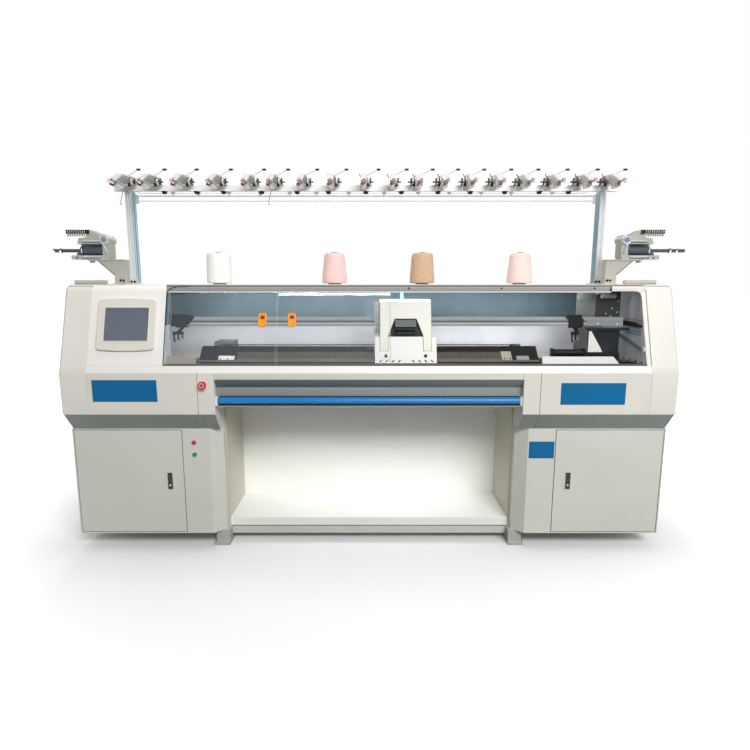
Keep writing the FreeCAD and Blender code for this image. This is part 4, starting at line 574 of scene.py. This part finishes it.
plain = {
    "bed_beam": casting_grey, "name_plates": plate_blue, "display": display_glass,
    "left_sliding_cover": polycarbonate, "right_sliding_cover": polycarbonate,
    "back_panels": casing_white, "guide_rails": bed_steel, "drive_belt": rubber,
    "drive_pulley": rail_metal, "idler_pulley": rail_metal, "drive_motor": casting_grey,
    "takedown_roller": rubber, "feeder_rails": satin_rail, "estop_button": estop_red,
    "stop_button": red_mould, "start_button": green_mould, "button_collars": plated_steel,
    "start_bar": azure_coat, "left_side_roller": slate_rubber, "right_side_roller": slate_rubber,
    "yarn_cones": card,
}
for node, finish in plain.items():
    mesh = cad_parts[node].data
    mesh.materials.clear()
    mesh.materials.append(finish)
    mesh.shade_smooth()
    mesh.set_sharp_from_angle(angle=math.radians(30))


# ---- needle beds
BED_SLOPE = math.radians(43.0)
BED_HALF = 620.0
BED_MIDDLE = 155.0        # depth of the gap between the beds
BED_TOP = 988.0
HALF_GAP = 3.0
FINE_PITCH = 6.0          # real tricks are about 2 mm apart; drawn 6 mm apart so that they show
WALL_WIDTH = 3.6          # of the wall between two tricks
TRICK_FLOOR = -4.2
HOOK_END = 36             # places down the slope, where the hooks' zone and the tricks end
TRICK_END = 78


def on_bed(side, s, h):
    """Depth and height on a bed: side -1 front, 1 rear; s down the slope, h above the bed."""
    across = HALF_GAP + s * math.cos(BED_SLOPE) + h * math.sin(BED_SLOPE)
    return BED_MIDDLE + side * across, BED_TOP - s * math.sin(BED_SLOPE) + h * math.cos(BED_SLOPE)


def along_bed(bm, side, section, x0, x1):
    return prism(bm, [(x0, *on_bed(side, s, h)) for s, h in section], (x1 - x0, 0, 0))


trick_starts = [-617.0 + step * FINE_PITCH for step in range(206)]


def trick_walls(bm, side, start, end):
    for x in trick_starts:
        along_bed(bm, side, [(start, 0), (end, 0), (end, TRICK_FLOOR), (start, TRICK_FLOOR)],
                x, x + WALL_WIDTH)


def fine_bed(bm):
    for side in (-1, 1):
        along_bed(bm, side, [(0, -4), (TRICK_END, -4), (TRICK_END, 0), (105, 0), (105, -18), (16.8, -18)],
                -BED_HALF, BED_HALF)
        trick_walls(bm, side, HOOK_END, TRICK_END)


def hook_zone(bm):
    """Upper part of the trick walls, between the needles' hooks."""
    for side in (-1, 1):
        trick_walls(bm, side, 0, HOOK_END)


def fine_needles(bm):
    for side in (-1, 1):
        for x in trick_starts[:-1]:
            along_bed(bm, side, [(4, -4), (70, -4), (70, 0.5), (62, -2), (8, -2)], x + 4.0, x + 5.6)


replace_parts(made("fine_needle_beds", bed_steel, "steel", fine_bed), "needle_beds")
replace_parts(made("hook_zone", needle_steel, "steel", hook_zone), "needle_beds")
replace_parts(made("fine_needles", needle_steel, "steel", fine_needles), "needles")


def bed_end_skin(x0, x1, s0):
    """Thin cover on the end of the front bed, low enough for the carriage to pass over it."""
    def build(bm):
        along_bed(bm, -1, [(s0, 0), (84.8, 0), (84.8, 0.3), (s0, 0.3)], x0, x1)
        cuboid(bm, x0, x1, 89.3, 89.9, 917, 929.6)
    return build


made("bed_clamp", gusset_white, "steel", bed_end_skin(-704, -629, 60))
made("bed_end_cap", taupe_mould, "steel", bed_end_skin(621, 668, 33))
made("bed_end_plate", plate_grey, "steel", bed_end_skin(690, 748, 61))
black("bed_end_screws", bars([((x, *on_bed(-1, s, 0)), (x, *on_bed(-1, s, 0.5)), 4, 12)
        for x, s in ((634, 76), (660, 76), (-694, 80), (-660, 80), (-640, 60))]))

# ---- yarn packages
CONE_DEPTH = 745
CONE_FOOT = 1283.0        # the packages stand on the flanges of their tubes
TURNS_OF_MAP = 0.07       # winding map: metres round the package for each radian
YARNS = [("White yarn", "#F7F6F4", "#EFEDE9", -857, 64.0), ("Pink yarn", "#F6D8D4", "#E5B9B4", -197, 54.5),
        ("Tan yarn", "#DDBC9D", "#B99576", 304, 58.0), ("Pale pink yarn", "#FAE4DE", "#EBC9C1", 862, 54.5)]


def cone_package(name, x, yarn, top_radius):
    """Cross-wound package with a soft crowned shoulder, and its winding's own map."""
    bm = bmesh.new()
    map_layer = bm.loops.layers.uv.new("winding")
    rings = [(60, 0), (69, 3), (71, 9), (70, 40), (top_radius + 3, 150), (top_radius, 162),
            (top_radius - 5, 168), (26, 170), (20, 169)]
    profile = [bm.verts.new(at(x + radius, CONE_DEPTH, CONE_FOOT + z)) for radius, z in rings]
    edges = [bm.edges.new(pair) for pair in zip(profile, profile[1:])]
    bmesh.ops.spin(bm, geom=profile + edges, cent=at(x, CONE_DEPTH, 0), axis=(0, 0, 1), dvec=(0, 0, 0),
            angle=math.tau, steps=64, use_merge=True)
    bmesh.ops.remove_doubles(bm, verts=bm.verts, dist=0.00001)
    bmesh.ops.holes_fill(bm, edges=[edge for edge in bm.edges if edge.is_boundary], sides=0)
    bmesh.ops.recalc_face_normals(bm, faces=bm.faces)
    middle = at(x, CONE_DEPTH, CONE_FOOT)
    for face in bm.faces:
        centre = face.calc_center_median()
        base_angle = math.atan2(centre.y - middle.y, centre.x - middle.x)
        for loop in face.loops:
            offset = loop.vert.co - middle
            angle = math.atan2(offset.y, offset.x)
            if angle - base_angle > math.pi:
                angle -= math.tau
            if base_angle - angle > math.pi:
                angle += math.tau
            loop[map_layer].uv = (angle * TURNS_OF_MAP, offset.z)
    piece_from(bm, name, yarn, "machine", "yarn", recalc=False, angle=60)


for label, light, dark, x, top in YARNS:
    cone_package(label.lower().replace(" ", "_") + "_package", x, wound_yarn(label, light, dark), top)


def tubes(bm):
    for _, _, _, x, _ in YARNS:
        bar(bm, (x, CONE_DEPTH, 1277.2), (x, CONE_DEPTH, CONE_FOOT), 38, 40, 36)
        bar(bm, (x, CONE_DEPTH, 1451), (x, CONE_DEPTH, 1457), 18, 32, 17)


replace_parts(made("cone_tubes", card, "yarn", tubes, 0.8), "yarn_cones")


# ---- casing: small parts
def rim_path(x, z, foot, width, height, corner, w):
    """Points round a rectangle with rounded corners on a leaning plane."""
    path = []
    for side_u, side_v, first in ((1, 1, "v"), (-1, 1, "u"), (-1, -1, "v"), (1, -1, "u")):
        u, v = side_u * width / 2, side_v * height / 2
        along_v, along_u = (u, v - side_v * corner), (u - side_u * corner, v)
        path += [along_v, (u, v), along_u] if first == "v" else [along_u, (u, v), along_v]
    return [on_lean(x, z, foot, u, v, w) for u, v in path]


SCREEN_X, SCREEN_Z = -1109.0, 1094.0
wire("bezel_rim", [rim_path(SCREEN_X, SCREEN_Z, LEDGE_Y, 207, 160, 12, 11.6)], 2.4, bezel_mould,
     closed=True)
wire("window_gasket", [[(-935.5, lean_depth(z) + 4, z) for z in (918, 1080, 1222)]
        + [(-930, 123, 1252), (-905, 126.4, 1264.5), (-870, 126.6, 1267),
        (-840, 126.6, 1267)]], 1.8, black_mould)

PLATES = (("left", -1110, 800, 294, 100, -1.5), ("right", 1019, 786.5, 294, 100, -1.5),
        ("data", 821, 500, 120, 82, 69.5))
for label, x, z, width, height, face in PLATES:
    # blank printed field inside the plate's pale border
    half, rise = (width - 11) / 2, (height - 10) / 2
    made(label + "_plate_field", plate_blue, "blue_plate",
         boxes([(x - half, x + half, face - 0.5, face + 0.3, z - rise, z + rise)]))


def rail_strips(rows):
    return boxes([(-937, 1123, 127.3, 128.4, low, high) for low, high in rows])


trim("rail_upper_strip", plate_grey, rail_strips([(1269.5, 1274)]))
# dark strips where the top rail has its grooves: painted shade
trim("rail_groove_shades", star_mould, rail_strips([(1249.6, 1252.0), (1257.0, 1258.2), (1266.0, 1268.0)]))
trim("rail_lip", white_mould, rail_strips([(1240.2, 1246.6)]))
black("top_rail_screws", lambda bm: screws(bm, [(x, 127.8, 1259) for x in (185, 614.5, 1045.5)], 4.6))
black("knee_panel_screws", bars([((side * 703.4, y, z), (side * 700.6, y, z), 6.5, 12)
        for side in (-1, 1) for y in (300, 463) for z in (585, 198)]))

BACK_FACE = 519.4         # front of the inner back panels


def back_skin(x0, x1, z0, z1):
    return boxes([(x0, x1, BACK_FACE, BACK_FACE + 0.9, z0, z1)])


shaded_sheet = mottled_sheet("Brushed sheet, in the shade", "#DEE1E7", "#D0D3DA", 0.1, 0.45)
# the back panel's upper part is painted shade under the deck's shadow, its lower part painted light where
# the window lets light in; the left of the lower part is painted shade as well
trim("upper_back_skin", upper_sheet_painted_shade, back_skin(-1262, 1262, 1091, 1273))
trim("lower_back_skin", lower_sheet_painted_light, back_skin(170, 1112, 913, 1089))
trim("lower_back_shade", shaded_sheet, back_skin(-1262, 170, 913, 1089))
trim("lower_back_end", plate_grey, back_skin(1112, 1262, 913, 1089))


def housing_skin(outline):
    """Steel on the inner side of the screen's housing, seen through the window."""
    return plate([(-937.9, y, z) for y, z in outline], (0.5, 0, 0))


# the housing's inner side in the same painted shade above and painted light below
trim("housing_upper_skin", upper_sheet_painted_shade,
     housing_skin([(lean_depth(1091) + 2, 1091), (155, 1091), (171, 1110), (171, 1270), (138, 1268),
        (lean_depth(1232) + 2, 1232)]))
trim("housing_lower_skin", lower_sheet_painted_light,
     housing_skin([(lean_depth(914) + 2, 914), (137, 914), (137, 1070), (154, 1091),
        (lean_depth(1091) + 2, 1091)]))

# the right inner wall
low_front, high_front = [(lean_depth(z, LEDGE_Y + 8), z) for z in (913, 1236)]
wall_outline = [low_front, (519.2, 913), (519.2, 1273), (high_front[0] + 6, 1273), high_front]
trim("wall_skin", wall_grey, plate([(1263.3, y, z) for y, z in wall_outline], (0.9, 0, 0)))
# rounded inner corner between the roof piece and the wall
fillet = [(1234 + 28 * math.sin(turn), 1218 + 28 * math.cos(turn))
        for turn in [step * math.pi / 12 for step in range(7)]]
trim("wall_corner", casing_white, plate([(x, 121, z) for x, z in [(1263.8, 1246.2)] + fillet], (0, 68, 0)))
black("wall_bolts", bars([((1263.6, y, 920), (1260.4, y, 920), 4.5, 12) for y in (68, 127, 187, 245, 303)]))
# the oil duct slopes along the wall down to its collar
trim("wall_duct", plate_grey,
     plate([(1263.6, y, z) for y, z in ((346, 1043), (346, 1026), (74, 968), (74, 990))], (-7, 0, 0)), 2.0)
trim("wall_collar", white_mould, lambda bm: ring(bm, (1261, 60, 980), 9, 4.5, "X", 20, 10))
made("wall_lever_pink", pink_label, "red",
     boxes([(1262.6, 1263.6, 95, 285, low, high) for low, high in ((1054, 1060), (1073, 1077))]))
made("wall_lever_blue", cyan_label, "blue_plate",
     boxes([(1262.6, 1263.6, 100, 250, low, high) for low, high in ((1040, 1050), (1063, 1070))]))
wire("wall_pink_wire", [[(1259, 95, 1112), (1259, 190, 1113), (1259, 290, 1112)]], 1.3, magenta_wire)


# plates that hang the feeder rails: skins, holes, screws
def hanger_skin(x0, x1):
    return boxes([(x0, x1, 215.2, 216.2, 1123, 1273)])


def hanger_dots(points, radius):
    return bars([((x, 215.4, z), (x, 214.4, z), radius, 12) for x, z in points])


trim("hanger_pale_skin", hanger_grey, hanger_skin(1000, 1091))
made("hanger_dark_skin", umber_mould, "black_parts", hanger_skin(1091, 1210))
trim("hanger_left_skin", hanger_grey, hanger_skin(-1175, -1045))
# black discs where the hanger plates have holes: painted shade in the holes
black("hanger_hole_shade", hanger_dots([(1006, 1232), (1003, 1200), (1019, 1199), (1078, 1222), (-1160, 1200),
        (-1120, 1228)], 3.6))
made("hanger_blue_marks", cyan_label, "blue_plate",
     hanger_dots([(1199, 1198), (1171, 1163), (1197, 1145), (1143, 1138), (1168, 1127)], 3.4))
made("wall_blue_marks", cyan_label, "blue_plate",
     bars([((1263.4, y, z), (1262.4, y, z), 3.2, 10) for y, z in ((349, 1029), (339, 972))]))
trim("white_rod", rod_white, bars([((1088, 203, 1240), (1150, 203, 1240), 10, 20),
        ((1112, 203, 1222), (1178, 203, 1222), 12, 20)]))
# a strip of painted shadow and a strip of painted highlight along the feeder rail
for label, finish, low, high in (("shade", rail_shade, 1098.2, 1107), ("edge", rail_painted_highlight, 1090, 1095.5)):
    made("feeder_rail_" + label, finish, "rails", boxes([(-1179, 1040, 183.75, 185, low, high)]))
made("rail_bolts", plated_steel, "steel",
     lambda bm: screws(bm, [(x, 183.95, 1089) for x in (1098, 1189)], 6.5, 0.15, 16))

# fittings at the right end of the beds
gusset = [(1026, 964), (1094, 964), (1090, 974), (1037, 1062), (1026, 1062)]
trim("gusset_skin", gusset_white, plate([(x, 110.9, z) for x, z in gusset], (0, 1.3, 0)), 0.4)
black("fitting_screws", bars([((x, 120, 961), (x, 120, 967), 7, 12) for x in (1036, 1056)]
        + [((x, 113, 945), (x, 109, 945), 3, 10) for x in (1060, 1130, 1160)]))

# ---- carriage
COVER_FOOT = 49           # where the plane of the carriage's cover meets the ledge's height
HEAD_MIDDLE = 170


def cover_slots(bm):
    """Slanted air slots in the carriage's cover, drawn as black plates: painted shade in the slots."""
    for x, lean in [(x, 4) for x in (54, 83, 111, 140)] + [(x, -4) for x in (204, 233, 262, 290)]:
        corners = [(-lean - 3.5, -5), (-lean + 3.5, -5), (lean + 3.5, 5), (lean - 3.5, 5)]
        prism(bm, [on_lean(x, 929, COVER_FOOT, u, v, -0.5) for u, v in corners],
              (0, -1.6 * math.cos(LEAN), 1.6 * math.sin(LEAN)))


black("carriage_slot_shade", cover_slots, body="carriage")
black("carriage_screws", bars([(*[on_lean(x, 952, COVER_FOOT, 0, 0, w) for w in (-0.5, 2.2)], 8, 16)
        for x in (78, 261)]), body="carriage")


def mouth_back(bm):
    """Dark cover plate inside the arch, with the head's upper step in front of it."""
    prism(bm, [on_lean(HEAD_MIDDLE, 1080, COVER_FOOT, u, v, -16)
            for u, v in ((-84, -42), (84, -42), (54, 36), (-54, 36))], (0, 3, 0))
    lean_plate(bm, HEAD_MIDDLE, 1070, COVER_FOOT, 96, 8, 7.4, 10)


def head_plate(bm):
    lean_plate(bm, HEAD_MIDDLE, 1098, COVER_FOOT, 98, 32, 2.0, 3.6)
    lean_plate(bm, HEAD_MIDDLE, 1082, COVER_FOOT, 92, 5, 7.4, 9.6)


black("carriage_mouth_back", mouth_back, 0.4, "carriage")
made("carriage_head_plate", slate_mould, "black_parts", head_plate, 0.4, "carriage")
# black discs for the post's holes: painted shade in the holes
black("post_hole_shade", bars([((34.5, 147, z), (34.5, 146.2, z), 3.6, 12)
        for z in (1062, 1091, 1120, 1149, 1178)]), body="carriage")


def leg_feet(bm):
    """The cover's tongues that close the notches under both legs of the arch."""
    for x in (69.8, 270.2):
        prism(bm, [on_lean(x, 966, COVER_FOOT, u, -7.2, w)
                for u, w in ((-20.6, -2.6), (20.6, -2.6), (20.6, -0.1), (-20.6, -0.1))],
              (0, 14.4 * math.sin(LEAN), 14.4 * math.cos(LEAN)))


made("cover_tongues", white_mould, "cream", leg_feet, body="carriage")

# ---- sliding covers and their pulls
for side, x, foot in (("left", -490, 19.75), ("right", -357, 37.75)):
    made(side + "_pull_insert", dark_red_mould, "orange",
         lambda bm: lean_plate(bm, x, 1126, foot, 17, 13, 2.6, 4.6), 0.8, side + "_window_cover")
# the sheets' cut edges are real; their pale colour is a painted highlight
edge_painted_highlight = moulded("Highlighted edge of the clear sheet", "#A3B0B6", "#99A6AC", 0.3, grain=60.0)
for side, x0, x1, foot in (("left", -929, -427, 23), ("right", -425, 101, 41)):
    made(side + "_cover_edges", edge_painted_highlight, "clear",
         bars([((x, lean_depth(915, foot) + 2.5, 915), (x, lean_depth(1231, foot) + 2.5, 1231), 0.7, 8)
            for x in (x0 + 1.5, x1 - 1.5)]), body=side + "_window_cover")

# ---- yarn feeders
FEEDERS = [("feeder_1", -982, -1, (-26, -9, 8, 24)), ("feeder_2", -904, 1, (-24, -4, 16)),
        ("feeder_3", 985, -1, (-22, -6))]
HORNS = {"feeder_1": [(-952, 1079), (-880, 1079), (-858, 1092), (-833, 1122), (-836, 1130), (-890, 1136),
        (-952, 1136)],
        "feeder_3": [(938, 1122), (938, 1128), (958, 1134), (1001, 1134), (1024, 1112), (1024, 1080),
        (1010, 1074), (972, 1074), (972, 1104)]}
FORK_STEP = 9             # each prong ends this much above the one before it, in threes


def fork_depth(side):
    """Depths of the feeder's fork over the gap of the beds, so that feeders pass one another."""
    return (147, 153.5) if side < 0 else (158.8, 164)


def feeder_fork(bm, x, side, offsets):
    y0, y1 = fork_depth(side)
    cuboid(bm, x + min(offsets) - 6, x + max(offsets) + 6, y0, y1, 1041, 1056)
    for count, offset in enumerate(offsets):
        low = 1010 + FORK_STEP * (count % 3)
        prong = x + offset
        cuboid(bm, prong - 3.5, prong + 3.5, y0, y1, low, 1044)
        prism(bm, [(prong - 3.5, y0, low), (prong + 3.5, y0, low), (prong + 8, y0, low - 6),
                (prong + 4, y0, low - 6)], (0, y1 - y0, 0))


def feeder_clips(bm, x, side, offsets):
    middle = sum(fork_depth(side)) / 2
    for count, offset in enumerate(offsets):
        ring(bm, (x + offset + 7, middle, 1013 + FORK_STEP * (count % 3)), 6, 1.5, "Y", 16, 6)


for feeder, x, side, offsets in FEEDERS:
    if feeder in HORNS:
        black(feeder + "_horn", plate([(u, 174.5, z) for u, z in HORNS[feeder]], (0, 6, 0)), 1.0, feeder)
    black(feeder + "_fork", lambda bm: feeder_fork(bm, x, side, offsets), 0.6, feeder)
    made(feeder + "_clips", plated_steel, "steel",
         lambda bm: feeder_clips(bm, x, side, offsets), body=feeder)
made("feeder_3_mark", magenta_wire, "red", bars([((966, 150, 1018), (976, 150, 1010), 3.2, 10)]),
     body="feeder_3")

# ---- door locks
for label, side in (("left", -1), ("right", 1)):
    made(label + "_lock_barrel", white_mould, "lock",
         bars([((side * 955, 69.0, 325), (side * 955, 67.0, 325), 5, 16)]), body=label + "_handle")

# ---- yarn stand
HEAD_X = (-1212, -1083, -924, -755, -591, -472, -328, -184, -25,
        114, 243, 368, 497, 631, 765, 909, 1058, 1195)
HEAD_SIDE = ((494, 1783), (494, 1807), (440, 1809), (343, 1801), (268, 1763), (356, 1760), (468, 1782))
KNOB_Y, KNOB_Z = 435, 1785
LAST_RIGHT_FACE = 200     # the photograph shows the heads' right face left of this place, the left beyond
HEADS = [(x, 1 if x < LAST_RIGHT_FACE else -1) for x in HEAD_X]


# grey skins on the one side face of each housing seen from the front: painted shade
def head_side_shades(bm):
    for x, m in HEADS:
        prism(bm, [(x + m * 13.6, y, z) for y, z in HEAD_SIDE], (m * 0.8, 0, 0))


def head_knobs(bm):
    """Small star knobs: four crossed bars and a hub."""
    for x, m in HEADS:
        middle = x + m * 30
        bar(bm, (x + m * 14, KNOB_Y, KNOB_Z), (x + m * 18, KNOB_Y, KNOB_Z), 20, 16)
        bar(bm, (x + m * 18, KNOB_Y, KNOB_Z), (x + m * 47, KNOB_Y, KNOB_Z), 4, 8)
        for y, z in ((0, 20), (14, 14), (14, -14), (20, 0)):
            bar(bm, (middle - 4, KNOB_Y - y, KNOB_Z - z), (middle + 4, KNOB_Y + y, KNOB_Z + z), 3.2, 6)


def head_tips(bm):
    for x, m in HEADS:
        bar(bm, (x + m * 26, 404, 1768), (x + m * 32, 404, 1768), 5, 12, 3.5)
        bar(bm, (x + 1, 252.6, 1766), (x + 1, 249.4, 1766), 4, 10)


def head_levers(bm):
    for x in HEAD_X:
        bar(bm, (x - 14, 440, 1806), (x - 24, 436, 1824), 2.2, 8)
        cuboid(bm, x - 15.5, x - 8, 262, 300, 1741, 1751)


trim("head_side_shade_skins", head_side_painted_shade, head_side_shades)
made("head_knobs", star_mould, "black_parts", head_knobs, 0.8)
black("head_cups",
      bars([((x + m * 14, 404, 1766), (x + m * 27, 404, 1766), 9, 12, 7) for x, m in HEADS]), 0.8)
made("head_tips", amber_mould, "yarn", head_tips)
black("stop_wire_tips", boxes([(x + 63.4, x + 81.6, 391.4, 398.6, 1832.4, 1841) for x in HEAD_X]))
LAMPS = ((372, 398, 1779, 1796), (440, 456, 1790, 1800))
made("head_lamps", lamp_red, "red",
     boxes([(x - 15.2, x - 13, *lamp) for x, m in HEADS if m < 0 for lamp in LAMPS]), 0.6)
made("head_levers", dark_red_mould, "red", head_levers, 0.5)
HOOK = ((5, 256, 1770), (9, 240, 1768), (8, 226, 1756), (0, 226, 1744), (-8, 226, 1754), (-4, 232, 1764),
        (4, 236, 1762))
wire("head_hooks", [[(x + u, y, z) for u, y, z in HOOK] for x in HEAD_X], 1.5, magenta_wire)

# places on the stand's rails, read from the photograph
CUP_X = (-1050, -884, -746, -551, -369, -208, -16, 166, 354, 520, 697, 874, 1024)
GUIDE_X = (-1011, -880, -723, -561, -409, -272, -105, 78, 254, 414, 577, 734, 945)
GUIDE = ((-13, 1747.4), (13, 1747.4), (3, 1728), (-3, 1728))


def rail_guides(bm):
    for x in GUIDE_X:
        prism(bm, [(x + u, 497, z) for u, z in GUIDE], (0, 3, 0))


black("rail_cups", bars([((x, 485, 1748), (x, 485, 1734), 17, 14, 8) for x in CUP_X]), 0.8)
made("rail_guides", stand_white, "rails", rail_guides, 0.5)
WIRE_RUN = ((-1195, 1752), (-1190, 1742), (-1172, 1739), (-900, 1738.5), (0, 1738.5), (900, 1738.5),
        (1100, 1739), (1120, 1742), (1126, 1752))
wire("stand_wire", [[(x, 497, z) for x, z in WIRE_RUN]], 1.4, bright_chrome)
END_HOOK = ((0, 478, 1750), (-2, 470, 1742), (-9, 462, 1706), (-12, 458, 1684), (-8, 455, 1676),
        (-3, 458, 1682))
wire("end_hooks", [[(x + u, y, z) for u, y, z in END_HOOK] for x in (-1256, -500)], 1.5,
     magenta_wire)

# teal strips on the posts' side faces are painted reflection and shade
made("post_side_reflections", post_side_reflection, "rails",
     boxes([(side, side + 0.6, y0, y1, 1284, 1744) for x0 in (-1242, 1178) for side in (x0 - 0.5, x0 + 29.9)
        for y0, y1 in ((456.5, 465), (475, 495), (505, 513.5))]))
black("post_bolts", bars([((x, 457, 1291), (x, 450.5, 1291), 5.5, 12) for x in (-1238, -1221, 1184, 1201)]))

# ---- side yarn feeders
UNIT_CENTRES = ((-1, 1309), (1, 1275))
UNIT_Z = 1394.0
GEAR_Z = UNIT_Z + 91
ROLLER_Z = UNIT_Z + 41
ROLLER_Y = 225


def side_units(build):
    """Builds the same parts on the left and on the right unit; reach(o) gives the place at offset o."""
    def both(bm):
        for side, centre in UNIT_CENTRES:
            build(bm, lambda o: side * (centre + o))
    return both


def unit_gears(bm, reach):
    for radius, depth in ((24.2, 203.6), (18.5, 202.8)):
        bar(bm, (reach(-62), 206, GEAR_Z), (reach(-62), depth, GEAR_Z), radius, 24)


def unit_hubs(bm, reach):
    bar(bm, (reach(-62), 203.5, GEAR_Z), (reach(-62), 200.5, GEAR_Z), 14, 6)
    ring(bm, (reach(-62), 203.5, GEAR_Z), 21, 1.8, "Y", 24, 6)
    for o, radius in ((154, 12), (185, 9.6)):
        bar(bm, (reach(o - 4), ROLLER_Y, ROLLER_Z), (reach(o + 4), ROLLER_Y, ROLLER_Z), radius, 16)
    ring(bm, (reach(51), ROLLER_Y, ROLLER_Z), 13, 3.6, "X", 24, 8)
    ball(bm, (reach(112), 200, UNIT_Z + 127), 4)


def unit_bars(bm, reach):
    for o0, o1, rise in ((-49, 38, 84), (-41, 43, 11)):
        bar(bm, (reach(o0), 204, UNIT_Z + rise), (reach(o1), 204, UNIT_Z + rise), 4.2, 10)
    bar(bm, (reach(-70), 205, UNIT_Z + 30), (reach(-58), 205, UNIT_Z + 70), 3.5, 10)


def unit_blacks(bm, reach):
    for o in (-126, -140):
        bar(bm, (reach(o), 209.4, 1296), (reach(o), 204.5, 1296), 5, 12)
    cuboid(bm, *sorted((reach(2), reach(113))), 199.6, 201.2, UNIT_Z + 119, UNIT_Z + 135)
    prism(bm, [(reach(o), 208.6, z) for o, z in ((-97, 1320), (-97, 1324.5), (-26, 1388), (-21, 1388))],
          (0, 1, 0))
    for o in (20, 46, 72):
        bar(bm, (reach(o), 209.4, UNIT_Z + 8), (reach(o), 206.4, UNIT_Z + 8), 3.4, 10)


def unit_teeth(bm, reach):
    for step in range(9):
        ends = sorted((reach(22 + step * 10), reach(25 + step * 10)))
        cuboid(bm, *ends, 199.0, 201.0, UNIT_Z + 122, UNIT_Z + 133)


made("unit_gear_covers", pale_steel, "steel", side_units(unit_gears), 0.6)
made("unit_hubs", bright_chrome, "steel", side_units(unit_hubs), 0.6)
made("unit_bars", pale_steel, "steel", side_units(unit_bars))
black("unit_black_parts", side_units(unit_blacks))
made("unit_guide_teeth", white_mould, "cream", side_units(unit_teeth))
made("deck_bar_ends", bright_chrome, "steel",
     side_units(lambda bm, reach: bar(bm, (reach(74.6), 176, 1287), (reach(77), 176, 1287), 8, 16, 7)))
wire("deck_seam_line", [[(side * x, 142, 1277.6) for x in (1140, 1200, 1262)] for side in (-1, 1)], 0.9,
     pink_label)


# ---- floor, light and camera
def greater(tree, first, second):
    return add(tree, "Math", {0: first, 1: second}, operation="MAXIMUM").outputs["Value"]


floor_material, tree, shader = material("Studio floor, white", "#F4F4F4", 0.6)
roughness_from(tree, shader, noise(tree, place_of(tree), 2.0), 0.55, 0.65)
rays = add(tree, "LightPath").outputs
straight = greater(tree, rays["Is Camera Ray"], rays["Is Glossy Ray"])
straight = greater(tree, straight, rays["Is Transmission Ray"])
# the eye sees a white floor; the machine gets back only what a grey floor would throw up
tone = add(tree, "ValToRGB", {"Fac": straight})
tone.color_ramp.elements[0].color = linear("#5C5C5A")
tone.color_ramp.elements[1].color = linear("#F6F6F6")
tree.links.new(tone.outputs["Color"], shader.inputs["Base Color"])
# far from the machine, where the lamps no longer reach, the floor glows out into the white paper; near the
# machine the glow falls away, which leaves a painted shadow round it
far_place = add(tree, "TexCoord")
distance = add(tree, "VectorMath", {0: far_place.outputs["Object"]}, operation="LENGTH")
shadow_pool_fade = add(tree, "MapRange", {"Value": distance.outputs["Value"]}, interpolation_type="SMOOTHSTEP",
        From_Min=1.1, From_Max=3.0, To_Min=0.04, To_Max=0.95)
glow = add(tree, "Math", {0: shadow_pool_fade.outputs["Result"], 1: straight}, operation="MULTIPLY")
lift = add(tree, "Emission", {"Strength": glow.outputs["Value"]}, Color=(1, 1, 1, 1))
total = add(tree, "AddShader", {0: shader.outputs["BSDF"], 1: lift.outputs["Emission"]})
tree.links.new(total.outputs["Shader"], tree.nodes["Material Output"].inputs["Surface"])

floor_bm = bmesh.new()
bmesh.ops.create_grid(floor_bm, x_segments=1, y_segments=1, size=40.0)
floor_mesh = bpy.data.meshes.new("floor")
floor_bm.to_mesh(floor_mesh)
floor_bm.free()
floor_mesh.materials.append(floor_material)
floor = in_scene("floor", floor_mesh)

world = bpy.data.worlds.new("Studio")
bpy.context.scene.world = world
world.use_nodes = True
sky = world.node_tree
sky.nodes.clear()
rays = add(sky, "LightPath").outputs
direct = greater(sky, rays["Is Camera Ray"], rays["Is Transmission Ray"])
strength = add(sky, "MapRange", {"Value": direct}, To_Min=0.27, To_Max=1.0)
paper = add(sky, "Background", {"Strength": strength.outputs["Result"]}, Color=(1, 1, 1, 1))
add(sky, "OutputWorld", {"Surface": paper.outputs["Background"]})


def softbox(name, place, target, width, height, power):
    lamp = bpy.data.lights.new(name, "AREA")
    lamp.shape = "RECTANGLE"
    lamp.size = width
    lamp.size_y = height
    lamp.energy = power
    piece = in_scene(name, lamp)
    piece.location = place
    piece.rotation_euler = (Vector(target) - Vector(place)).to_track_quat("-Z", "Y").to_euler()
    return piece


softbox("Front softbox", (1.7, -5.2, 4.3), (0, -0.1, 0.9), 3.6, 1.8, 325)
softbox("Overhead softbox", (0, 0.0, 4.4), (0, 0.0, 1.0), 4.0, 2.0, 55)
softbox("Right softbox", (4.6, -0.8, 2.6), (1.2, 0.0, 1.1), 1.6, 1.6, 8)
softbox("Rear softbox", (-1.0, 4.8, 3.4), (0, 0.2, 0.9), 3.0, 1.6, 90)
# lamps alone: they light the window and the knee space and stand for no part of the machine
strips = (("Work light behind the top rail", at(60, 150, 1236), at(60, 520, 1225), 1.9, 0.02, 5.6, 180),
        ("Work light under the apron", at(0, 330, 690), at(0, 330, 100), 1.1, 0.04, 0.6, 80))
for label, place, target, length, height, power, beam_width in strips:
    strip = softbox(label, place, target, length, height, power)
    strip.visible_camera = False
    strip.visible_glossy = False
    strip.data.spread = math.radians(beam_width)

bpy.context.scene.view_settings.view_transform = "Standard"
FRAME_PX = 750.0          # the photograph's frame
FOCAL_PX = 542.0          # its focal length, as far as the vanishing points give it
SENSOR = 36.0
lens = bpy.data.cameras.new("Camera")
lens.sensor_width = SENSOR
lens.lens = SENSOR * FOCAL_PX / FRAME_PX
lens.shift_x = 6.0 / FRAME_PX
lens.clip_end = 200.0
camera = in_scene("Camera", lens)
camera.location = at(0, -2415, 1279)
camera.rotation_euler = (math.radians(90.0 - 9.53), 0.0, 0.0)
bpy.context.scene.camera = camera
